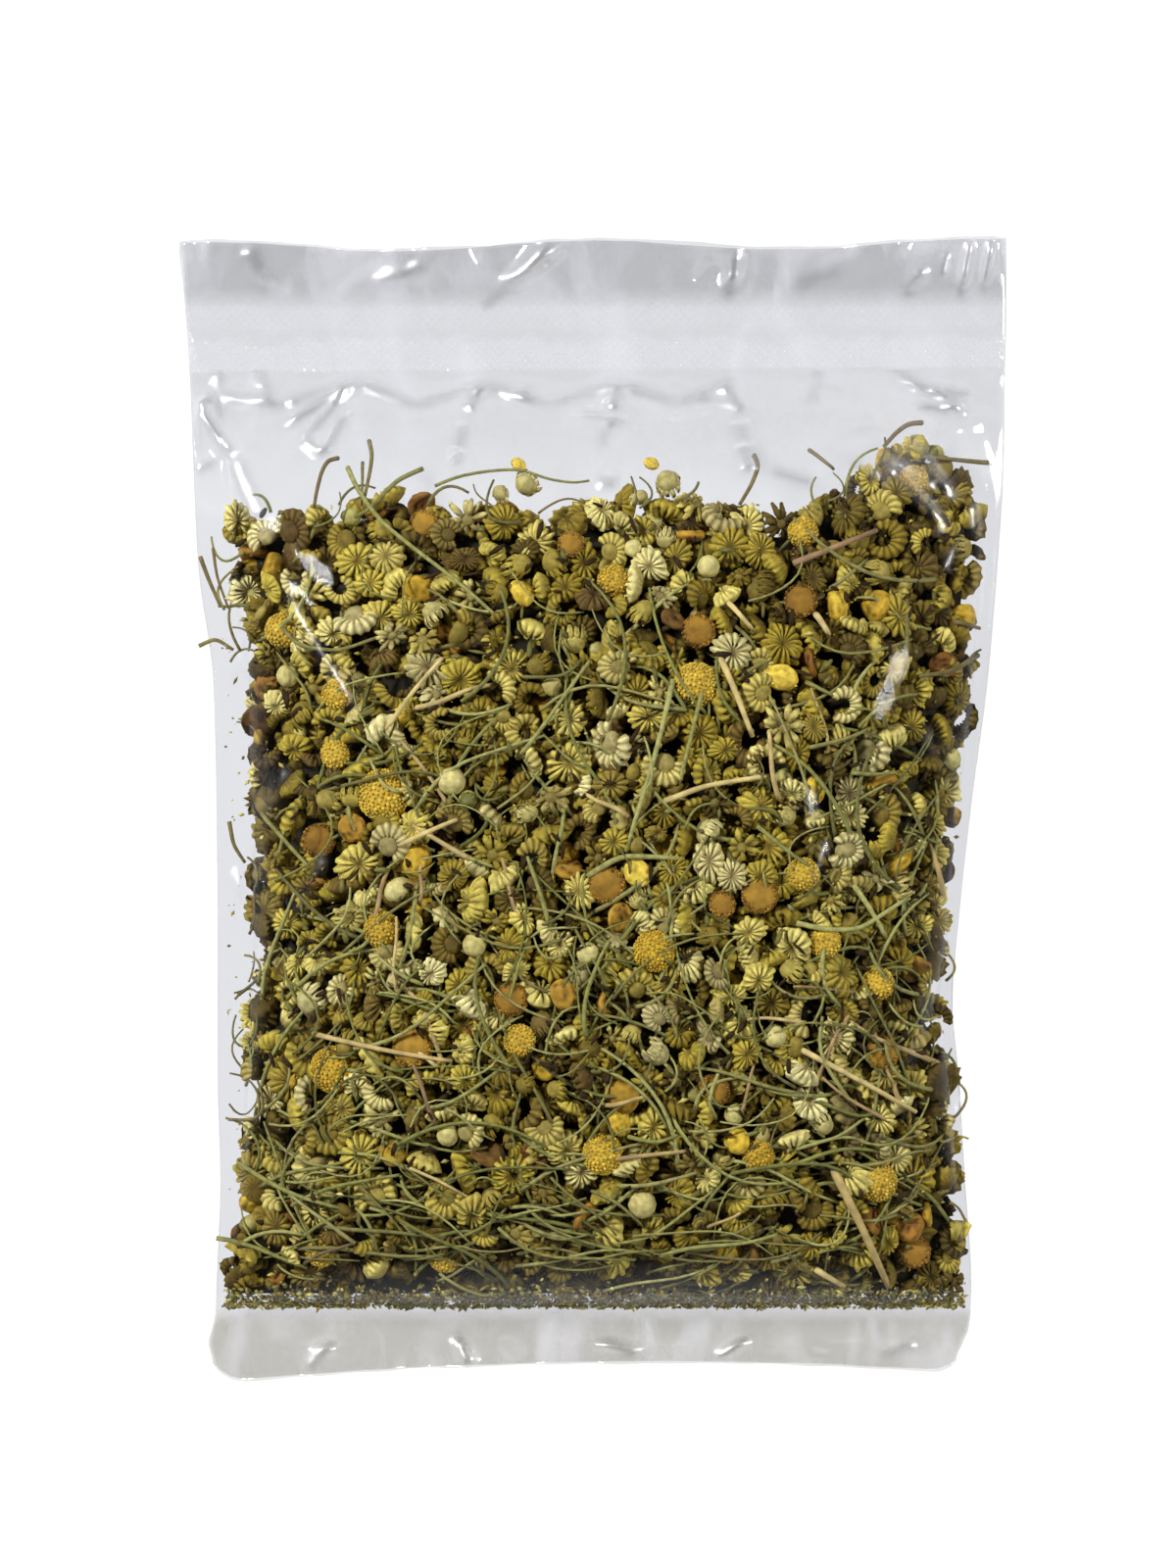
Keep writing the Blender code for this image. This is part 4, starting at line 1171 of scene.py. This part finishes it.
LIP_CREASES = (
    (25.8, 101.0, 24.0, 91.5, 1.6, 1.6),
    (22.0, 99.0, 19.0, 93.5, 2.2, -1.4),
    (-8.0, 100.5, -16.5, 93.0, 1.9, 1.5),
    (-16.5, 93.0, -20.0, 90.0, 1.3, 0.8),
    (-4.0, 99.0, -9.5, 95.0, 1.6, -1.2),
    (67.7, 101.5, 66.0, 92.0, 1.1, 1.5),
    (71.4, 101.0, 70.0, 93.0, 1.0, 1.3),
    (63.5, 100.0, 62.5, 95.0, 1.0, 0.8),
    (59.5, 97.0, 56.0, 92.0, 1.4, 0.9),
    (-30.0, 98.0, -40.0, 94.5, 2.4, 0.9),
    (-62.0, 101.0, -58.0, 93.0, 2.4, 1.0),
    (44.0, 97.5, 36.0, 94.0, 2.2, 0.7),
    (-52.0, -101.0, -47.0, -96.0, 1.6, 0.9),
    (-22.0, -101.5, -25.0, -94.5, 1.3, 1.2),
    (-13.0, -100.5, -17.0, -95.5, 1.7, -1.0),
    (9.0, -100.0, 1.0, -96.0, 1.9, 0.9),
    (22.0, -101.0, 28.0, -95.5, 1.4, 1.1),
    (41.0, -101.0, 37.0, -96.0, 1.8, -1.0),
    (52.0, -99.0, 58.0, -96.0, 1.8, 0.8),
    (-60.0, -96.5, -36.0, -98.0, 1.5, 0.5),
    (-8.0, -97.0, 18.0, -98.5, 1.4, 0.5),
    (30.0, -98.0, 50.0, -97.0, 1.4, 0.5),
)
FRONT_COLUMNS, BACK_COLUMNS = 172, 30
FILM_LEVELS = np.concatenate((
    np.linspace(-102, -86, 26, endpoint=False),
    np.linspace(-86, 50, 62, endpoint=False),
    np.linspace(50, 80, 72, endpoint=False),
    np.linspace(80, 102, 29),
))
FILM_THICKNESS = 0.09
EDGE_WIDTH = 0.8
print("film grid:", FRONT_COLUMNS + BACK_COLUMNS, "columns round,", len(FILM_LEVELS), "levels")


def crease_height(x, y, creases):
    """Sum of the ridges near a point: round across, fading out towards both ends."""
    total = 0.0
    for ax, ay, bx, by, width, height in creases:
        along = Vector((bx - ax, by - ay))
        length = along.length
        t = ((x - ax) * along.x + (y - ay) * along.y) / (length * length)
        if not -0.3 < t < 1.3:
            continue
        off = abs((x - ax) * along.y - (y - ay) * along.x) / length
        if off < 3.2 * width:
            ends = math.exp(-((max(0.0, abs(t - 0.5) - 0.3) / 0.18) ** 2))
            total += height * ends * math.exp(-((off / width) ** 2))
    return total


def crease_mask(x, y, creases):
    """1 along the sharp ridges, 0 elsewhere."""
    ridges = [
        (*ends, 0.7 * width, min(1.0, 0.8 * height)) for *ends, width, height in creases if height > 0.6
    ]
    over_fill = min(1.0, max(0.0, (54.0 - y) / 6.0)) if y > BOTTOM_WELD[1] else 0.0
    return (1 - 0.9 * over_fill) * min(1.0, crease_height(x, y, ridges))


def waves(x, y, seed):
    """Smooth noise between -1 and 1."""
    return noise.noise(Vector((x, y, seed)))


def lip_share(y):
    """0 up to the welds, 1 at the edge of the lips."""
    if y > TOP_WELD[1]:
        return (y - TOP_WELD[1]) / (LEVELS[-1] - TOP_WELD[1])
    if y < BOTTOM_WELD[0]:
        return (BOTTOM_WELD[0] - y) / (BOTTOM_WELD[0] - LEVELS[0])
    return 0.0


def front_relief(x, y, creases):
    """Wrinkles of the front layer, in millimetres up. They die out at both welds."""
    slack = max(0.0, 1 - abs(y - 68) / 13)
    below_weld = max(0.0, TOP_WELD[0] - y)
    above_bottom = max(0.0, y - BOTTOM_WELD[1])
    free = min(1.0, min(below_weld, above_bottom) / 2.5)
    lump = 0.3 * waves(x * 0.1, y * 0.1, 1.0) + 0.07 * waves(x * 0.4, y * 0.4, 5.0)
    pucker = 0.9 * math.exp(-below_weld / 6) * math.sin(x / 3.4 + 1.5 * waves(x * 0.08, 0, 0))
    pucker += 0.7 * math.exp(-above_bottom / 4) * math.sin(x / 2.6 + 2.0 * waves(x * 0.1, 3, 0))
    billow = 1.3 * slack * waves(x * 0.055, y * 0.075, 9.0)
    return free * (lump + pucker + billow + crease_height(x, y, creases))


def lip_waves(x, y, layer):
    """The loose lips wave, the front one (layer 0) more than the back one."""
    share = lip_share(y)
    if share == 0:
        return 0.0
    if y > 0:
        wave = 3.2 * waves(x * 0.085, y * 0.05, 2.0 + layer) + 1.3 * waves(x * 0.2, y * 0.12, 4.0)
        lift = -0.9 + 0.6 * wave if layer else 1.6 + wave
    else:
        wave = 3.0 * waves(x * 0.11, y * 0.04, 6.0 + layer)
        lift = -0.5 + 0.5 * wave if layer else 1.2 + wave
    fold = 0.0 if layer else crease_height(x, y, LIP_CREASES)
    return share * lift + min(1.0, 3 * share) * fold


def edge_shift(x, y):
    """The lips' edges wander a little, and the lower corners are rounded."""
    if y > TOP_WELD[1]:
        return lip_share(y) * (-0.4 + 0.9 * math.cos(x / 11.0) + 0.004 * x)
    if y < BOTTOM_WELD[0]:
        corner = max(0.0, abs(x + 1.0) - 62.0) / 5.0
        return lip_share(y) * (1.9 - 0.0006 * (x - 11.0) ** 2 + 2.6 * corner**2)
    return 0.0


# %% Rolling the grid into the tube
def random_creases(rng, count):
    """Short, low creases in the slack film over the empty part and down the sides."""
    made = []
    for _ in range(count):
        if rng.random() < 0.72:
            x, y = rng.uniform(-68, 70), rng.uniform(57, 76)
        else:
            y = rng.uniform(-80, 55)
            x = rng.choice((at(LEFT, y) + rng.uniform(2, 16), at(RIGHT, y) - rng.uniform(1, 10)))
        heading = rng.gauss(math.pi / 2, 0.8)
        reach = rng.uniform(3, 11)
        dx, dy = reach * math.cos(heading), reach * math.sin(heading)
        width = rng.uniform(1.0, 2.0)
        made.append((x, y, x + dx, y + dy, width, width * rng.uniform(0.2, 0.55)))
    return tuple(made)


def film_point(column, y, creases):
    """A point of the tube at its column: 0 is the left fold, then the front, the right fold and the back."""
    column %= FRONT_COLUMNS + BACK_COLUMNS
    left, right, seam = (float(at(curve, y)) for curve in (LEFT, RIGHT, SEAM))
    in_front = column <= FRONT_COLUMNS
    if in_front:
        t = 2 * column / FRONT_COLUMNS - 1
        t = 0.6 * t + 0.4 * math.sin(math.pi / 2 * t)
    else:
        t = math.cos(math.pi * (column - FRONT_COLUMNS) / BACK_COLUMNS)
    x = left + (t + 1) / 2 * (right - left)
    edge = min(1.0, (x - left) / EDGE_WIDTH, (right - x) / EDGE_WIDTH)
    back = float(back_height(x, y))
    if in_front:
        relief = front_relief(x, y, creases) + lip_waves(x, y, 0)
        z = max(float(front_height(x, y)) + 0.25 * edge + edge * relief, back + 0.1 * edge)
    else:
        z = back - 0.6 * edge + edge * min(0.0, lip_waves(x, y, 1))
    z = seam + (z - seam) * max(edge, 0.05)
    return Vector((x, y + edge_shift(x, y), max(z, 0.03))) * MM


def make_film(material):
    columns = FRONT_COLUMNS + BACK_COLUMNS
    creases = FRONT_CREASES + random_creases(random.Random(77), 60)
    build = bmesh.new()
    fold_layer = build.verts.layers.float.new("crease")
    rows = len(FILM_LEVELS) - 1
    bmesh.ops.create_grid(build, x_segments=columns, y_segments=rows, size=0.5)
    for vertex in build.verts:
        column = round((vertex.co.x + 0.5) * columns)
        y = float(FILM_LEVELS[round((vertex.co.y + 0.5) * rows)])
        vertex.co = film_point(column, y, creases)
        if column <= FRONT_COLUMNS:
            table = creases if BOTTOM_WELD[1] < y < TOP_WELD[0] else LIP_CREASES
            vertex[fold_layer] = crease_mask(vertex.co.x / MM, y, table)
    bmesh.ops.remove_doubles(build, verts=build.verts, dist=1e-7)
    bmesh.ops.recalc_face_normals(build, faces=build.faces)
    film = object_from("film_tube", mesh_from(build, "film_tube"), material)
    wall = film.modifiers.new("thickness", "SOLIDIFY")
    wall.thickness = FILM_THICKNESS * MM
    wall.offset = -1
    return finish_piece(film, "clear_film", "clear_bag")


# %% [markdown]
# ## Clear film as a material
# Clear film lets nearly all light through and mirrors a little of it, more at a glancing angle.
# Glass with refraction would be slow and grainy here, so the film is a mix: mostly a transparent shader,
# a sharp gloss whose share grows with Layer Weight, and a white haze where the crimping jaws frosted it.
# The frosting is a fine diamond net, worked out from the place of each point.


# %% A node group for the crimped net
def make_crimp_group():
    group = bpy.data.node_groups.new("crimped_net", "ShaderNodeTree")
    for name in ("Net Pitch", "Low Edge", "High Edge", "Slant"):
        group.interface.new_socket(name, in_out="INPUT", socket_type="NodeSocketFloat")
    for name in ("Net", "Band"):
        group.interface.new_socket(name, in_out="OUTPUT", socket_type="NodeSocketFloat")
    pitch, low, high, slant = add_node(group, "NodeGroupInput").outputs[:4]
    leave = add_node(group, "NodeGroupOutput")
    place = add_node(group, "ShaderNodeTexCoord").outputs["Object"]
    parts = add_node(group, "ShaderNodeSeparateXYZ")
    group.links.new(place, parts.inputs[0])
    x, y = parts.outputs[:2]
    turns = math_node(group, "DIVIDE", math.tau, pitch)
    lines = [
        math_node(group, "SINE", math_node(group, "MULTIPLY", math_node(group, way, x, y), turns))
        for way in ("ADD", "SUBTRACT")
    ]
    level = math_node(group, "SUBTRACT", y, math_node(group, "MULTIPLY", x, slant))
    above = math_node(group, "MULTIPLY", math_node(group, "SUBTRACT", level, low), 2500.0)
    ragged = math_node(group, "SUBTRACT", noise_texture(group, place, 260.0), 0.35)
    worn = math_node(group, "MULTIPLY", ragged, 0.006)
    room = math_node(group, "SUBTRACT", math_node(group, "SUBTRACT", high, worn), level)
    band = add_node(group, "ShaderNodeClamp")
    below = math_node(group, "MULTIPLY", room, 700.0)
    group.links.new(math_node(group, "MINIMUM", above, below), band.inputs[0])
    group.links.new(math_node(group, "MAXIMUM", *lines), leave.inputs[0])
    group.links.new(band.outputs[0], leave.inputs[1])
    return group


crimped_net = make_crimp_group()
print("node group:", crimped_net.name)


# %% The film's haze, gloss and tint, as numbers between 0 and 1
NET_PITCH = 1.6
WORN_LINE = 86.2
NET_SLANT = 0.006


def crimped_haze(tree, place):
    """Haze of the top weld, strong below the worn line and faint above it, and the height of its net."""
    bands = []
    for low, high in ((TOP_WELD[0], WORN_LINE), (WORN_LINE, TOP_WELD[1])):
        band = add_node(tree, "ShaderNodeGroup", node_tree=crimped_net)
        for socket, value in zip(band.inputs, (NET_PITCH * MM, low * MM, high * MM, NET_SLANT)):
            socket.default_value = value
        bands.append(band)
    (net, strong), (_, faint) = (band.outputs[:2] for band in bands)
    uneven = noise_texture(tree, place, 120.0, 3.0)
    ridge = math_node(tree, "MULTIPLY", math_node(tree, "MAXIMUM", net, 0.0), uneven)
    haze = math_node(tree, "MULTIPLY", strong, math_node(tree, "MULTIPLY", ridge, 0.09))
    weak = math_node(tree, "MULTIPLY", faint, math_node(tree, "MULTIPLY", ridge, 0.07))
    base = math_node(tree, "MULTIPLY", strong, 0.004)
    haze = math_node(tree, "ADD", math_node(tree, "ADD", haze, weak), base)
    return haze, math_node(tree, "MULTIPLY", net, strong)


def whitish_patches(tree, place):
    """Whitish patches, longer up the bag than across it."""
    stretch = add_node(tree, "ShaderNodeMapping")
    stretch.inputs["Scale"].default_value = (1.0, 0.45, 1.0)
    stretch.inputs["Rotation"].default_value = (0, 0, 0.35)
    tree.links.new(place, stretch.inputs["Vector"])
    return fade(tree, noise_texture(tree, stretch.outputs[0], 75.0, 4.0, 1.2), 0.48, 0.68, 0.17)


def glossy(tree, roughness):
    shader = add_node(tree, "ShaderNodeBsdfGlossy")
    shader.inputs["Roughness"].default_value = roughness
    return shader


# %% The film's material
def make_film_material():
    material, tree, principled = new_material("clear_film", 0.07)
    tree.nodes.remove(principled)
    place = add_node(tree, "ShaderNodeTexCoord").outputs["Object"]
    haze, net_height = crimped_haze(tree, place)
    parts = add_node(tree, "ShaderNodeSeparateXYZ")
    tree.links.new(place, parts.inputs[0])
    # How far a point is into the empty top, the lower flap and the upper lips
    empty = fade(tree, parts.outputs[1], 0.054, 0.068)
    flap = fade(tree, parts.outputs[1], -0.090, -0.093)
    lips = fade(tree, parts.outputs[1], 0.090, 0.094)
    bare = math_node(tree, "MAXIMUM", empty, flap)
    loose = math_node(tree, "MAXIMUM", lips, flap)
    # Gloss grows at glancing angles, over bare film and along the sharp creases
    facing = add_node(tree, "ShaderNodeLayerWeight")
    facing.inputs[0].default_value = 0.5
    grazing = math_node(tree, "POWER", facing.outputs["Facing"], 4.0)
    share = math_node(tree, "ADD", math_node(tree, "MULTIPLY", grazing, 0.4), 0.002)
    share = math_node(tree, "ADD", share, math_node(tree, "MULTIPLY", bare, 0.045))
    share = math_node(tree, "ADD", share, math_node(tree, "MULTIPLY", loose, 0.06))
    fold = add_node(tree, "ShaderNodeAttribute", attribute_name="crease")
    ridge_share = math_node(tree, "MULTIPLY", fold.outputs["Fac"], 0.30)
    # Whitish patches over the lips and, fainter, over the bare film.
    patch_share = math_node(tree, "MAXIMUM", loose, math_node(tree, "MULTIPLY", bare, 0.3))
    haze = math_node(tree, "ADD", haze, math_node(tree, "MULTIPLY", whitish_patches(tree, place), patch_share))
    # The shaders to mix
    bumps = add_node(tree, "ShaderNodeBump")
    bumps.inputs["Strength"].default_value = 0.6
    bumps.inputs["Distance"].default_value = 0.2 * MM
    tree.links.new(net_height, bumps.inputs["Height"])
    mirror, crinkle = glossy(tree, 0.05), glossy(tree, 0.27)
    tree.links.new(bumps.outputs[0], mirror.inputs["Normal"])
    frost = add_node(tree, "ShaderNodeBsdfDiffuse")
    frost.inputs[0].default_value = (0.74, 0.74, 0.79, 1)
    clear, passing = (add_node(tree, "ShaderNodeBsdfTransparent") for _ in range(2))
    tint = mix_colours(tree, lips, (0.910, 0.912, 0.922, 1), (0.884, 0.886, 0.896, 1))
    tree.links.new(mix_colours(tree, flap, tint, (0.908, 0.903, 0.890, 1)), clear.inputs[0])
    shadow = add_node(tree, "ShaderNodeLightPath").outputs["Is Shadow Ray"]
    look = clear.outputs[0]
    for factor, shader in ((share, mirror), (ridge_share, crinkle), (haze, frost), (shadow, passing)):
        mix = add_node(tree, "ShaderNodeMixShader")
        for socket, value in zip(mix.inputs, (factor, look, shader.outputs[0])):
            tree.links.new(value, socket)
        look = mix.outputs[0]
    tree.links.new(look, tree.nodes["Material Output"].inputs["Surface"])
    return material


make_film(make_film_material())

# %% [markdown]
# ## Studio
# The bag lies on a plain pale floor under soft light, and the camera looks straight down from above it.
# A bright sky lights everything evenly. Two smaller lamps to the sides make the sharp highlights on the film.


# %% Floor, lights and camera
def make_floor():
    build = bmesh.new()
    bmesh.ops.create_grid(build, x_segments=1, y_segments=1, size=3)
    material, _, shader = new_material("pale_floor", 0.9)
    shader.inputs["Base Color"].default_value = (0.20, 0.20, 0.20, 1)
    shader.inputs["Specular IOR Level"].default_value = 0.0
    shader.inputs["Emission Color"].default_value = (1, 1, 1, 1)
    shader.inputs["Emission Strength"].default_value = 0.92
    floor = object_from("floor", mesh_from(build, "floor"), material)


def add_lamp(name, place, size, power):
    data = bpy.data.lights.new(name, "AREA")
    data.shape = "DISK"
    data.size = size
    data.energy = power
    lamp = bpy.data.objects.new(name, data)
    lamp.location = place
    lamp.rotation_euler = (-Vector(place)).to_track_quat("-Z", "Y").to_euler()
    bpy.context.scene.collection.objects.link(lamp)


def make_sky(strength):
    """A bright dome with a dark patch straight above, so that level film mirrors nothing bright."""
    world = bpy.data.worlds.new("soft_sky")
    world.use_nodes = True
    tree = world.node_tree
    background = tree.nodes["Background"]
    background.inputs[1].default_value = strength
    direction = add_node(tree, "ShaderNodeTexCoord")
    parts = add_node(tree, "ShaderNodeSeparateXYZ")
    tree.links.new(direction.outputs["Generated"], parts.inputs[0])
    greys = [(height, (grey, grey, grey)) for height, grey in ((0.0, 0.9), (0.60, 1.0), (0.83, 0.06))]
    tree.links.new(ramp(tree, parts.outputs[2], greys), background.inputs[0])
    bpy.context.scene.world = world


IMAGE_SIZE = (1200, 1600)
FRAME_CENTRE = (-1.06, 4.4, 6.0)
CAMERA_DISTANCE = 700.0
SENSOR = 36.0


def make_camera():
    data = bpy.data.cameras.new("camera")
    data.sensor_fit = "VERTICAL"
    data.sensor_height = SENSOR
    data.lens = SENSOR * CAMERA_DISTANCE / (IMAGE_SIZE[1] * PIXEL)
    data.clip_start = 0.01
    camera = bpy.data.objects.new("camera", data)
    camera.location = (Vector(FRAME_CENTRE) + Vector((0, 0, CAMERA_DISTANCE))) * MM
    bpy.context.scene.collection.objects.link(camera)
    bpy.context.scene.camera = camera


make_floor()
make_sky(0.46)
add_lamp("key_lamp", (-0.66, 0.40, 0.72), 0.18, 12.5)
add_lamp("side_lamp", (0.70, 0.10, 0.62), 0.13, 4.5)
make_camera()
print("lamps:", len(bpy.data.lights), "and camera:", bpy.context.scene.camera.name)
bpy.context.scene.view_settings.view_transform = "Standard"
